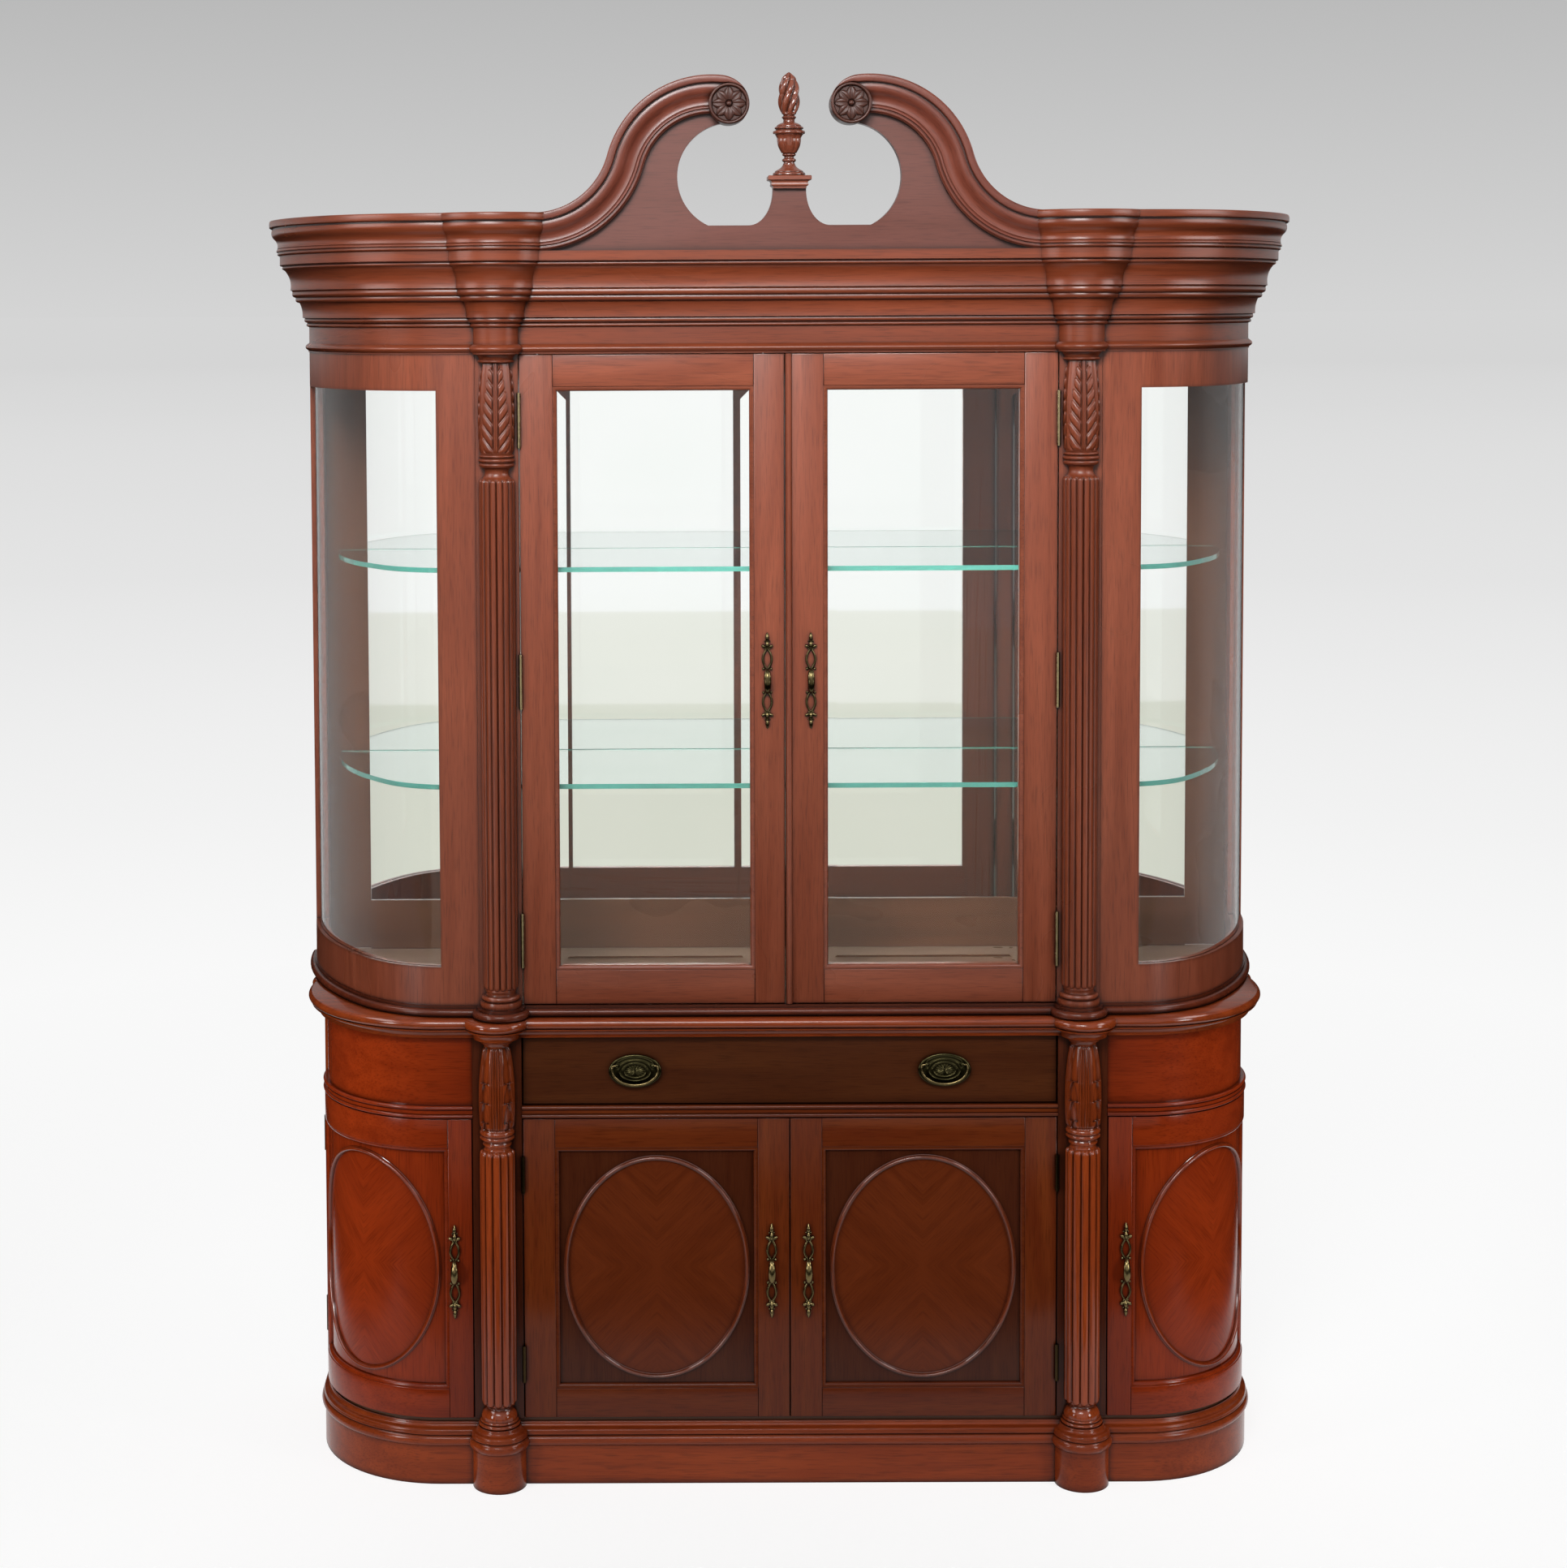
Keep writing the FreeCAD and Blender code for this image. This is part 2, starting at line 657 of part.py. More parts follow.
# Glass shelves on short pins at the posts and on the back
shelf_rear = inner_back - num("mirror_thickness") - num("shelf_back_gap")
shelf_thickness = num("shelf_thickness")
pin_radius = num("shelf_pin_radius")
pin_length = num("shelf_pin_length")
post_back = num(f"{FACE} + hutch_post_depth")
shelf_out = frame_in - num("shelf_end_gap")
shelves = []
pins = []
rear_pin_y = inner_back - num("mirror_thickness")
front_trim = slab(-hutch_half, hutch_half, face - depth, post_back + shelf_thickness / 4, 0, num(CROWN_Z))
shelf_low = num(f"{HUTCH_FLOOR} + shelf_rise")
for shelf_z in (shelf_low, shelf_low + num("shelf_spacing")):
    plate = hutch_plate(shelf_out, shelf_z, shelf_z + shelf_thickness, shelf_rear)
    shelves.append(plate.cut(front_trim))
    pin_z = shelf_z - pin_radius
    for pin_x in (-hutch_column.x, hutch_column.x):
        front_pin = Vector(pin_x, post_back, pin_z)
        rear_pin = Vector(pin_x, rear_pin_y, pin_z)
        pins.append(Part.makeCylinder(pin_radius, pin_length, front_pin, Vector(0, 1, 0)))
        pins.append(Part.makeCylinder(pin_radius, pin_length, rear_pin, Vector(0, -1, 0)))
node("glass_shelves", feature("glass_shelves", Part.Compound(shelves)))
node("shelf_pins", feature("shelf_pins", Part.Compound(pins)))

# Ceiling board of the hutch, inside the cornice
wall_in = -num("cornice_wall")
ceiling_top = cornice_z + num("board")
node("hutch_ceiling", feature("hutch_ceiling", hutch_plate(wall_in, cornice_z, ceiling_top, inner_back)))

# Cornice up to the corona, breaking round each column
levels = [cornice_z]
for member in ("architrave", "frieze", "taenia", "band", "ovolo", "hollow", "corona"):
    levels.append(levels[-1] + num(member + "_height"))
crown_z = levels[-1]
band_out = num("band_reach")
ovolo_out = num("ovolo_reach")
hollow_out = num("hollow_reach")
corona_out = num("corona_reach")
architrave_bow = num("architrave_reach / architrave_height")
taenia_bow = num("taenia_reach / taenia_height")
cornice_profile = [
    (0, levels[0]), bow((0, levels[0]), (0, levels[1]), architrave_bow), (0, levels[1]), (0, levels[2]),
    bow((0, levels[2]), (0, levels[3]), taenia_bow), (0, levels[3]),
    (band_out, levels[3]), (band_out, levels[4]),
    bow((band_out, levels[4]), (ovolo_out, levels[5]), 0.2), (ovolo_out, levels[5]),
    bow((ovolo_out, levels[5]), (hollow_out, levels[6]), -0.2), (hollow_out, levels[6]),
    (corona_out, levels[6]), (corona_out, levels[7]),
]


def breaking(profile, inner):
    """Section round the whole hutch with a round break over each column."""
    section = closed(profile, inner)
    return joined(
        [straight(section, -nose_x, nose_x)]
        + with_twin(hutch_end(section, 0, 90))
        + with_twin(swung(closed(profile, -bump_core), hutch_column, bump_core, 0, 360))
    )


hutch_inside = hutch_plate(wall_in, cornice_z, crown_z, back)
node("cornice", feature("cornice", breaking(cornice_profile, wall_in).cut(hutch_inside)))
crown_board = hutch_plate(wall_in, crown_z - num("board"), crown_z, inner_back)
node("crown_board", feature("crown_board", crown_board))
CORNICE_INSIDE = f"({HUTCH_HALF} - cornice_wall - groove_gap)"
node("cornice_back", box("cornice_back", (f"-{CORNICE_INSIDE}", CORNICE_INSIDE),
                         (INNER_BACK, BACK), (CORNICE_Z, CROWN_Z)))

# Crown: the top cyma on the ends and the round breaks, open between for the pediment
crown_top = num(f"{CROWN_Z} + crown_height")
crown_out = num("crown_reach")
cyma_low = (corona_out + num("crown_fillet"), crown_z)
cyma_mid = ((corona_out + crown_out) / 2, crown_z + 0.45 * (crown_top - crown_z))
cyma_high = (crown_out, crown_z + 0.85 * (crown_top - crown_z))
crown_profile = [
    cyma_low, bow(cyma_low, cyma_mid, 0.15), cyma_mid, bow(cyma_mid, cyma_high, -0.15), cyma_high,
    (crown_out, crown_top),
]
neck_start = hutch_column.x - num("neck_inset")
tympanum_out = num("tympanum_reach")
neck_clear = slab(-neck_start, neck_start, face - 2 * crown_out, back, crown_z, crown_top)
crown = breaking(crown_profile, wall_in).cut(neck_clear)
crown = crown.cut(hutch_plate(wall_in, crown_z, crown_top, back))
node("crown", feature("crown", crown))

# Swan necks: two S-shaped bands of the crown's width that rise to the rosettes
neck_width = crown_top - crown_z
low_radius = num("neck_low_radius")
high_radius = num("neck_high_radius")
high_x = neck_start - num("neck_run")
low_centre = (neck_start, crown_top + low_radius)
span = low_radius + high_radius
rise = math.sqrt(span ** 2 - (neck_start - high_x) ** 2)
high_centre = (high_x, low_centre[1] - rise)
meet_angle = math.atan2(rise, neck_start - high_x)
neck_end = -math.radians(num("neck_end_degrees"))


def on_arc(centre, radius, angle):
    """Point on an arc, with the angle from straight up towards +X."""
    return (centre[0] + radius * math.sin(angle), centre[1] + radius * math.cos(angle))


def neck_band(top_share, low_share):
    """Outline of the right neck between two shares of its width, from its top edge down."""
    top = top_share * neck_width
    low = low_share * neck_width
    high_turn = math.pi / 2 - meet_angle
    low_turn = -math.pi / 2 - meet_angle
    high_half = (high_turn + neck_end) / 2
    low_half = (low_turn - math.pi) / 2
    return [
        on_arc(low_centre, low_radius + top, math.pi),
        on_arc(low_centre, low_radius + top, low_half) + ("arc",),
        on_arc(high_centre, high_radius - top, high_turn),
        on_arc(high_centre, high_radius - top, high_half) + ("arc",),
        on_arc(high_centre, high_radius - top, neck_end),
        on_arc(high_centre, high_radius - low, neck_end),
        on_arc(high_centre, high_radius - low, high_half) + ("arc",),
        on_arc(high_centre, high_radius - low, high_turn),
        on_arc(low_centre, low_radius + low, low_half) + ("arc",),
        on_arc(low_centre, low_radius + low, math.pi),
    ]


def upright(points, front, rear):
    """Flat outline in X and Z, made solid from a front plane to a rear one."""
    flat = Part.Face(wire(points, lambda x, z: Vector(x, face - front, z)))
    return flat.extrude(Vector(0, front - rear, 0))


neck = joined([
    upright(neck_band(0, 1), cyma_low[0], tympanum_out),
    upright(neck_band(0, 0.6), cyma_mid[0], tympanum_out),
    upright(neck_band(0, 0.25), crown_out, tympanum_out),
])
both("swan_necks", feature("swan_neck", neck))

# Tympanum: the board behind the necks, pierced beside the pedestal of the finial
tympanum_in = tympanum_out - num("tympanum_thickness")
sill_z = crown_z + num("tympanum_sill")
hole_x = high_x - num("tympanum_hole_inset")
hole_z = crown_z + num("tympanum_hole_z")
hole_radius = num("tympanum_hole_radius")
pedestal_top = crown_z + num("pedestal_height")
pedestal_foot = num("pedestal_foot_width") / 2
pedestal_head = num("pedestal_top_width") / 2
backing = neck_band(0.5, 0.7)[:5] + [(high_x, crown_z), (neck_start, crown_z)]
hole_front = Vector(hole_x, face - 2 * crown_out, hole_z)
hole = Part.makeCylinder(hole_radius, 4 * crown_out, hole_front, Vector(0, 1, 0))
hole = hole.cut(slab(0, neck_start, face - 2 * crown_out, face + 2 * crown_out, crown_z, sill_z))
sill = slab(0, high_x, face - tympanum_out, face - tympanum_in, crown_z, sill_z)
wing = joined([upright(backing, tympanum_out, tympanum_in), sill]).cut(hole)
pedestal = [(-pedestal_foot, crown_z), (pedestal_foot, crown_z), (pedestal_foot, sill_z),
            (pedestal_head, pedestal_top), (-pedestal_head, pedestal_top), (-pedestal_foot, sill_z)]
tympanum = joined([upright(pedestal, tympanum_out, tympanum_in)] + with_twin(wing))
node("tympanum", feature("tympanum", tympanum))

# Rosettes on the ends of the necks
rosette_x = high_x - num("rosette_inset")
rosette_centre = Vector(rosette_x, face - tympanum_out, crown_z + num("rosette_z"))
rosette_front = crown_out + num("rosette_thickness") / 2
rosette_length = rosette_front - tympanum_in
rosette_rear = Vector(rosette_centre.x, face - tympanum_in, rosette_centre.z)
rosette = Part.makeCylinder(num("rosette_radius"), rosette_length, rosette_rear, Vector(0, -1, 0))
rosette = rosette.cut(joined([neck])).cut(joined([tympanum]))
both("rosettes", feature("rosette", rosette))

# Block and flame finial
block_half = num("block_width") / 2
block_top = pedestal_top + num("block_height")
block_points = [(-pedestal_head, pedestal_top), (pedestal_head, pedestal_top), (block_half, block_top),
                (-block_half, block_top)]
block_mid = (tympanum_out + tympanum_in) / 2
node("finial_block", feature("finial_block", upright(block_points, block_mid + pedestal_head,
                                                     block_mid - pedestal_head)))
foot_radius = num("finial_foot_radius")
stem_radius = num("finial_stem_radius")
urn_radius = num("urn_radius")
flame_neck = num("flame_neck_radius")
flame_radius = num("flame_radius")
tip_radius = num("flame_tip_radius")
foot_top = block_top + num("finial_foot_height")
stem_top = foot_top + num("finial_stem_height")
urn_top = stem_top + num("urn_height")
lid_top = urn_top + num("lid_height")
flame_low = lid_top + num("flame_neck_height")
flame_mid = flame_low + num("flame_height") / 3
flame_tip = flame_low + num("flame_height")
finial_outline = [
    (foot_radius, block_top), bow((foot_radius, block_top), (stem_radius, foot_top), -0.2),
    (stem_radius, foot_top), (stem_radius, stem_top),
    bow((stem_radius, stem_top), (urn_radius, urn_top), 0.2), (urn_radius, urn_top),
    bow((urn_radius, urn_top), (urn_radius, lid_top), 0.1), (urn_radius, lid_top),
    (flame_neck, lid_top), (flame_neck, flame_low), (flame_radius, flame_mid),
    bow((flame_radius, flame_mid), (tip_radius, flame_tip), 0.12), (tip_radius, flame_tip),
]
node("finial", feature("finial", lathe(finial_outline, Vector(0, face - block_mid, 0))))


def hinge_pair(axis, low, height, door_side, case_side):
    """Door half and case half of one butt hinge; each side is a leaf's span in X and Y."""
    radius = num("knuckle_radius")
    pin = num("hinge_pin_radius")
    third = height / 3
    gap = num("slide_gap")
    door = [Part.makeCylinder(pin, height, Vector(axis.x, axis.y, low))]
    for foot in (low, low + 2 * third):
        door.append(Part.makeCylinder(radius, third - gap / 2, Vector(axis.x, axis.y, foot + gap / 4)))
        door.append(slab(*door_side, foot + gap / 4, foot + third - gap / 4))
    middle = low + third + gap / 4
    case = joined([
        Part.makeCylinder(radius, third - gap / 2, Vector(axis.x, axis.y, middle)),
        slab(*case_side, middle, middle + third - gap / 2),
    ])
    bore = Part.makeCylinder(pin + num("pin_gap"), height, Vector(axis.x, axis.y, low))
    return joined(door), case.cut(bore)


def front_hinges(post_x, door_z, door_height, hinge_height, count):
    """Hinges of a right-hand front door, in the gap beside its post."""
    gap = num("door_gap")
    leaf = num("hinge_leaf")
    axis = Vector(post_x - gap / 2, face - num("knuckle_radius") - num("knuckle_stand"), 0)
    rear = face + num("hinge_leaf_depth")
    door_side = (post_x - gap, post_x - gap + leaf, axis.y, rear)
    case_side = (post_x - leaf, post_x, axis.y, rear)
    inset = num("hinge_inset")
    step = (door_height - 2 * inset - hinge_height) / (count - 1)
    return [hinge_pair(axis, door_z + inset + index * step, hinge_height, door_side, case_side)
            for index in range(count)]


def pull(x, z):
    """Upright pull on a front stile: a pointed plate with a bow handle."""
    half = num("pull_length") / 2
    side = num("pull_width") / 2
    plate = num("pull_plate")
    grip = num("pull_bow")
    rod = num("pull_rod")
    lens = [(x, z - half), (x + side, z, "arc"), (x, z + half), (x - side, z, "arc")]
    ring = Part.makeTorus(grip, rod, Vector(x, face - plate, z), Vector(1, 0, 0))
    ring = ring.cut(half_space(face - plate, z - 2 * grip, z + 2 * grip))
    return joined([upright(lens, plate, 0), ring])


def framed(name, x_span, z_span, stiles, rails, hole):
    """Flat door frame of two stiles and two rails, with a groove cut for what it holds."""
    depth_span = (FACE, f"{FACE} + frame_thickness")
    left, right = x_span
    low, high = z_span
    pieces = [
        box(name + "_stile_a", (left, f"{left} + {stiles[0]}"), depth_span, z_span),
        box(name + "_stile_b", (f"{right} - {stiles[1]}", right), depth_span, z_span),
        box(name + "_rail_a", (f"{left} + {stiles[0]}", f"{right} - {stiles[1]}"), depth_span,
            (low, f"{low} + {rails[0]}")),
        box(name + "_rail_b", (f"{left} + {stiles[0]}", f"{right} - {stiles[1]}"), depth_span,
            (f"{high} - {rails[1]}", high)),
    ]
    return cut(name + "_body", fuse(name + "_frame", pieces), hole)


def groove_box(name, x_span, z_span, front, thickness, extra):
    """Pane or groove that reaches into its frame all round."""
    return box(name, (f"{x_span[0]} - {extra[0]}", f"{x_span[1]} + {extra[0]}"),
               (f"{FACE} + {front} - {extra[1]}", f"{FACE} + {front} + {thickness} + {extra[1]}"),
               (f"{z_span[0]} - {extra[0]}", f"{z_span[1]} + {extra[0]}"))


def place_door(side, pieces):
    """Keep a right-hand door's pieces, or their mirror images for the left-hand door."""
    for label, item in pieces.items():
        name = f"{label}_{side}"
        node(name, item if side == "right" else mirrored(name, item))


case_hinges = []

# Hutch doors: bevelled glass in a moulded frame, with the astragal bead on the right-hand one
HUTCH_EDGE = f"({HUTCH_POST_X} - door_gap)"
WINDOW_EDGE = "(astragal_width / 2 + door_gap + meeting_stile)"
MEETING_EDGES = {"left": "(astragal_width / 2 + door_gap)", "right": "(-astragal_width / 2)"}
hutch_door_z = num(HUTCH_DOOR_Z)
hutch_door_height = num("hutch_door_height")
hutch_high = f"({HUTCH_DOOR_Z} + hutch_door_height)"
glass_x = (WINDOW_EDGE, f"({HUTCH_EDGE} - hutch_stile)")
glass_z = (f"({HUTCH_DOOR_Z} + hutch_bottom_rail)", f"({hutch_high} - hutch_top_rail)")
for side, meeting in MEETING_EDGES.items():
    slot = groove_box(f"hutch_slot_{side}", glass_x, glass_z, "glass_setback", "glass_thickness",
                      ("(glass_rabbet + groove_gap)", "groove_gap"))
    frame = framed(f"hutch_door_{side}", (meeting, HUTCH_EDGE), (HUTCH_DOOR_Z, hutch_high),
                   (f"({WINDOW_EDGE} - {meeting})", "hutch_stile"),
                   ("hutch_bottom_rail", "hutch_top_rail"), slot)
    pane = groove_box(f"hutch_pane_{side}", glass_x, glass_z, "glass_setback", "glass_thickness",
                      ("glass_rabbet", "0"))
    hinges = front_hinges(num(HUTCH_POST_X), hutch_door_z, hutch_door_height, num("hutch_hinge_height"), 3)
    grip = pull(num(f"{WINDOW_EDGE} - meeting_stile / 2"),
                hutch_door_z + hutch_door_height - num("hutch_pull_drop"))
    hardware = feature(f"hutch_hardware_{side}", Part.Compound([grip] + [door for door, case in hinges]))
    case_hinges += [(side, case) for door, case in hinges]
    place_door(side, {"hutch_door_frame": frame, "hutch_door_glass": pane, "hutch_door_hardware": hardware})
astragal_half = num("astragal_width") / 2
astragal_points = [(-astragal_half, 0), (astragal_half, 0), (0, num("astragal_proud"), "arc")]
astragal_face = Part.Face(wire(astragal_points, lambda x, out: Vector(x, face - out, hutch_door_z)))
node("astragal", feature("astragal", astragal_face.extrude(Vector(0, 0, hutch_door_height))))

# Base centre doors: a flat panel with an oval bead
BASE_EDGE = f"({BASE_POST_X} - door_gap)"
BASE_MEETING = "(door_gap / 2)"
base_high = f"({BASE_DOOR_Z} + base_door_height)"
panel_x = (f"({BASE_MEETING} + base_stile)", f"({BASE_EDGE} - base_stile)")
panel_z = (f"({BASE_DOOR_Z} + base_rail)", f"({base_high} - base_rail)")
panel_front = face + num("panel_setback")
oval_proud = num("oval_proud")
oval_width = num("oval_width")
base_door_z = num(BASE_DOOR_Z)
base_door_height = num("base_door_height")
pull_z = base_door_z + base_door_height - num("base_pull_drop")
panel_mid_z = num(f"({panel_z[0]} + {panel_z[1]}) / 2")
oval_half_height = num(f"({panel_z[1]} - {panel_z[0]}) / 2 - oval_margin")


def oval_ring(centre, half_width, normal, length):
    """Oval tube along a level normal, to make the applied bead from."""
    solids = []
    for trim in (0, oval_width):
        ellipse = Part.Ellipse(Vector(0, 0, 0), oval_half_height - trim, half_width - trim)
        flat = Part.Face(Part.Wire(ellipse.toShape()))
        solid = flat.extrude(Vector(0, 0, length))
        turn = FreeCAD.Rotation(UP, normal.cross(UP), normal, "ZXY")
        solid.Placement = FreeCAD.Placement(centre, turn)
        solids.append(solid)
    return solids[0].cut(solids[1])


for side in ("left", "right"):
    slot = groove_box(f"base_slot_{side}", panel_x, panel_z, "panel_setback", "panel_thickness",
                      ("(glass_rabbet + groove_gap)", "groove_gap"))
    frame = framed(f"base_door_{side}", (BASE_MEETING, BASE_EDGE), (BASE_DOOR_Z, base_high),
                   ("base_stile", "base_stile"), ("base_rail", "base_rail"), slot)
    board = groove_box(f"base_board_{side}", panel_x, panel_z, "panel_setback", "panel_thickness",
                       ("glass_rabbet", "0"))
    half_width = num(f"({panel_x[1]} - {panel_x[0]}) / 2 - oval_margin")
    oval_centre = Vector(num(f"({panel_x[0]} + {panel_x[1]}) / 2"), panel_front, panel_mid_z)
    oval = feature(f"base_oval_{side}", oval_ring(oval_centre, half_width, Vector(0, -1, 0), oval_proud))
    panel = fuse(f"base_panel_{side}", [board, oval])
    hinges = front_hinges(num(BASE_POST_X), base_door_z, base_door_height, num("base_hinge_height"), 2)
    grip = pull(num(f"{BASE_MEETING} + pull_inset"), pull_z)
    hardware = feature(f"base_hardware_{side}", Part.Compound([grip] + [door for door, case in hinges]))
    case_hinges += [(side, case) for door, case in hinges]
    place_door(side, {"base_door_frame": frame, "base_door_panel": panel, "base_door_hardware": hardware})

# End doors: the same frame and oval bent round the end, hinged at the rear post
END_EDGE = f"({BASE_POST_OUT} + door_gap)"
end_front = num(END_EDGE)
end_rear_y = num(f"{FACE} + end_door_depth")
end_low = base_door_z
end_high = num(base_high)
end_turn = math.degrees(math.asin(num("end_door_depth") / end_radius - 1)) + 90
window_turn = end_turn - math.degrees(num("end_stile") / end_radius)
panel_out = -num("panel_setback")
panel_in = panel_out - num("panel_thickness")
panel_low = num(panel_z[0])
panel_high = num(panel_z[1])
panel_rabbet = num("glass_rabbet")


def end_panel(gap):
    """Bent panel, or the groove for it when a gap is given."""
    overlap = panel_rabbet + gap
    section = band(panel_low - overlap, panel_high + overlap, panel_in - gap, panel_out + gap)
    swing = math.degrees(overlap / end_radius)
    lead = straight(section, arc_x - overlap, arc_x)
    return joined([lead, base_end(section, 0, window_turn + swing)])


door_section = band(end_low, end_high, frame_in, 0)
end_frame = joined([straight(door_section, end_front, arc_x), base_end(door_section, 0, END_SWING)])
end_frame = end_frame.cut(half_space(end_rear_y, end_low, end_high))
end_window = base_end(band(panel_low, panel_high, 2 * frame_in, -frame_in), 0, window_turn)
end_frame = end_frame.cut(end_window).cut(end_panel(groove_gap))
bent_shell = base_end(band(panel_low, panel_high, panel_out, panel_out + oval_proud), 0, window_turn)
middle_turn = math.radians(window_turn / 2)
oval_half = (end_radius + panel_out) * math.sin(middle_turn) - num("oval_margin")
oval_normal = Vector(math.sin(middle_turn), -math.cos(middle_turn), 0)
oval_foot = Vector(end_centre.x, end_centre.y, panel_mid_z)
bent_oval = oval_ring(oval_foot, oval_half, oval_normal, 2 * end_radius).common(bent_shell)
end_leaf = num("hinge_leaf")
end_gap = num("rear_gap")
end_axis_x = arc_x + math.sqrt(end_radius ** 2 - (end_rear_y - end_centre.y) ** 2) + num("knuckle_radius")
end_axis = Vector(end_axis_x + num("knuckle_stand"), end_rear_y + end_gap / 2, 0)
leaf_in = end_axis.x - num("hinge_leaf_depth")
end_door_side = (leaf_in, end_axis.x, end_rear_y, end_rear_y + end_leaf)
end_case_side = (leaf_in, end_axis.x, end_rear_y + end_gap - end_leaf, end_rear_y + end_gap)
end_hinge_height = num("base_hinge_height")
end_hinge_levels = (end_low + num("hinge_inset"), end_high - num("hinge_inset") - end_hinge_height)
end_hinges = [
    hinge_pair(end_axis, low, end_hinge_height, end_door_side, end_case_side) for low in end_hinge_levels
]
end_pull = pull(num(f"{END_EDGE} + pull_inset"), pull_z)
for side in ("left", "right"):
    frame = feature(f"end_frame_body_{side}", end_frame)
    panel = feature(f"end_panel_body_{side}", joined([end_panel(0), bent_oval]))
    metal = Part.Compound([end_pull] + [door for door, case in end_hinges])
    hardware = feature(f"end_hardware_{side}", metal)
    case_hinges += [(side, case) for door, case in end_hinges]
    place_door(side, {"end_door_frame": frame, "end_door_panel": panel, "end_door_hardware": hardware})
hinge_halves = [case if side == "right" else with_twin(case)[1] for side, case in case_hinges]
node("case_hinges", feature("case_hinges", Part.Compound(hinge_halves)))

# Drawer: a front, a box behind it and runners on the partitions
DRAWER_EDGE = f"({BASE_POST_X} - door_gap)"
DRAWER_REAR = f"({FACE} + drawer_setback + drawer_front_thickness)"
BOX_END = f"({DRAWER_REAR} + drawer_box_depth)"
BOX_SIDE = f"({BASE_POST_X} - drawer_side_clear)"
BOX_TOP = f"({DRAWER_Z} + drawer_box_height)"
node("drawer_front", box("drawer_front", (f"-{DRAWER_EDGE}", DRAWER_EDGE),
                         (f"{FACE} + drawer_setback", DRAWER_REAR),
                         (DRAWER_Z, f"{DRAWER_Z} + drawer_front_height")))
drawer_body = box("drawer_body", (f"-{BOX_SIDE}", BOX_SIDE), (DRAWER_REAR, BOX_END), (DRAWER_Z, BOX_TOP))
drawer_room = box("drawer_room", (f"drawer_side - {BOX_SIDE}", f"{BOX_SIDE} - drawer_side"),
                  (f"{DRAWER_REAR} + drawer_side", f"{BOX_END} - drawer_side"),
                  (f"{DRAWER_Z} + drawer_bottom", BOX_TOP))
node("drawer_box", cut("drawer_box", drawer_body, drawer_room))
RUNNER_TOP = f"({DRAWER_Z} - slide_gap)"
runner = box("runner", (f"{BOX_SIDE} - 2 * drawer_side", f"{BASE_POST_OUT} - board"),
             (f"{FACE} + base_post_depth", INNER_BACK), (WAIST_Z, RUNNER_TOP))
guide = box("guide", (f"{BOX_SIDE} + slide_gap", f"{BASE_POST_OUT} - board"),
            (f"{FACE} + base_post_depth", INNER_BACK), (RUNNER_TOP, f"{RUNNER_TOP} + drawer_guide_height"))
both("drawer_runners", fuse("drawer_runner", [runner, guide]))

# Drawer pulls: oval plates with two posts, and a bail that swings on them
drawer_face = num("drawer_setback")
plate_x = num(f"{BASE_POST_X} - plate_inset")
plate_z = num(f"{DRAWER_Z} + drawer_front_height / 2")
plate = num("plate_thickness")
post_z = plate_z + num("post_rise")
post_half = num("post_spacing") / 2
rod = num("bail_rod")
pivot_y = face + drawer_face - num("post_length") + num("post_radius")
plate_half = (num("plate_width") / 2, num("plate_height") / 2)
plate_ellipse = Part.Ellipse(Vector(0, 0, 0), *plate_half)
plate_solid = Part.Face(Part.Wire(plate_ellipse.toShape())).extrude(Vector(0, 0, plate))
plate_turn = FreeCAD.Rotation(Vector(1, 0, 0), 90)
plate_solid.Placement = FreeCAD.Placement(Vector(plate_x, face + drawer_face, plate_z), plate_turn)
bail_bore = Part.makeCylinder(rod + num("pin_gap"), num("plate_width"),
                              Vector(plate_x - plate_half[0], pivot_y, post_z), Vector(1, 0, 0))
post_feet = [Vector(plate_x + offset, face + drawer_face, post_z) for offset in (-post_half, post_half)]
post_solids = [
    Part.makeCylinder(num("post_radius"), num("post_length"), foot, Vector(0, -1, 0)) for foot in post_feet
]
plate_solid = joined([plate_solid] + post_solids).cut(bail_bore)
both("drawer_plates", feature("drawer_plate", plate_solid))
bail_half = num("bail_width") / 2
corner = num("bail_corner")
bail_low = post_z - num("bail_drop")
tip = post_half - num("post_radius")


def bail_point(x, z):
    return Vector(plate_x + x, pivot_y, z)


diagonal = corner * (1 - math.sqrt(0.5))
pin_corner = num("bail_pin_corner")
pin_diagonal = pin_corner * (1 - math.sqrt(0.5))
bail_edges = []
for turn in (1, -1):
    route = [
        bail_point(turn * tip, post_z), bail_point(turn * (bail_half - pin_corner), post_z),
        bail_point(turn * (bail_half - pin_diagonal), post_z - pin_diagonal),
        bail_point(turn * bail_half, post_z - pin_corner), bail_point(turn * bail_half, bail_low + corner),
        bail_point(turn * (bail_half - diagonal), bail_low + diagonal),
        bail_point(turn * (bail_half - corner), bail_low), bail_point(0, bail_low),
    ]
    bail_edges += [
        Part.makeLine(route[0], route[1]),
        Part.Arc(*route[1:4]).toShape(),
        Part.makeLine(route[3], route[4]),
        Part.Arc(*route[4:7]).toShape(),
        Part.makeLine(route[6], route[7]),
    ]
bail_path = Part.Wire(Part.sortEdges(bail_edges)[0])
bail_section = Part.Wire(Part.makeCircle(rod, bail_path.OrderedVertexes[0].Point, Vector(1, 0, 0)))
bail = bail_path.makePipeShell([bail_section], True, True)
for side, centre in (("left", -plate_x), ("right", plate_x)):
    moved = bail.copy()
    moved.translate(Vector(centre - plate_x, 0, 0))
    node(f"bail_{side}", feature(f"bail_{side}", moved))

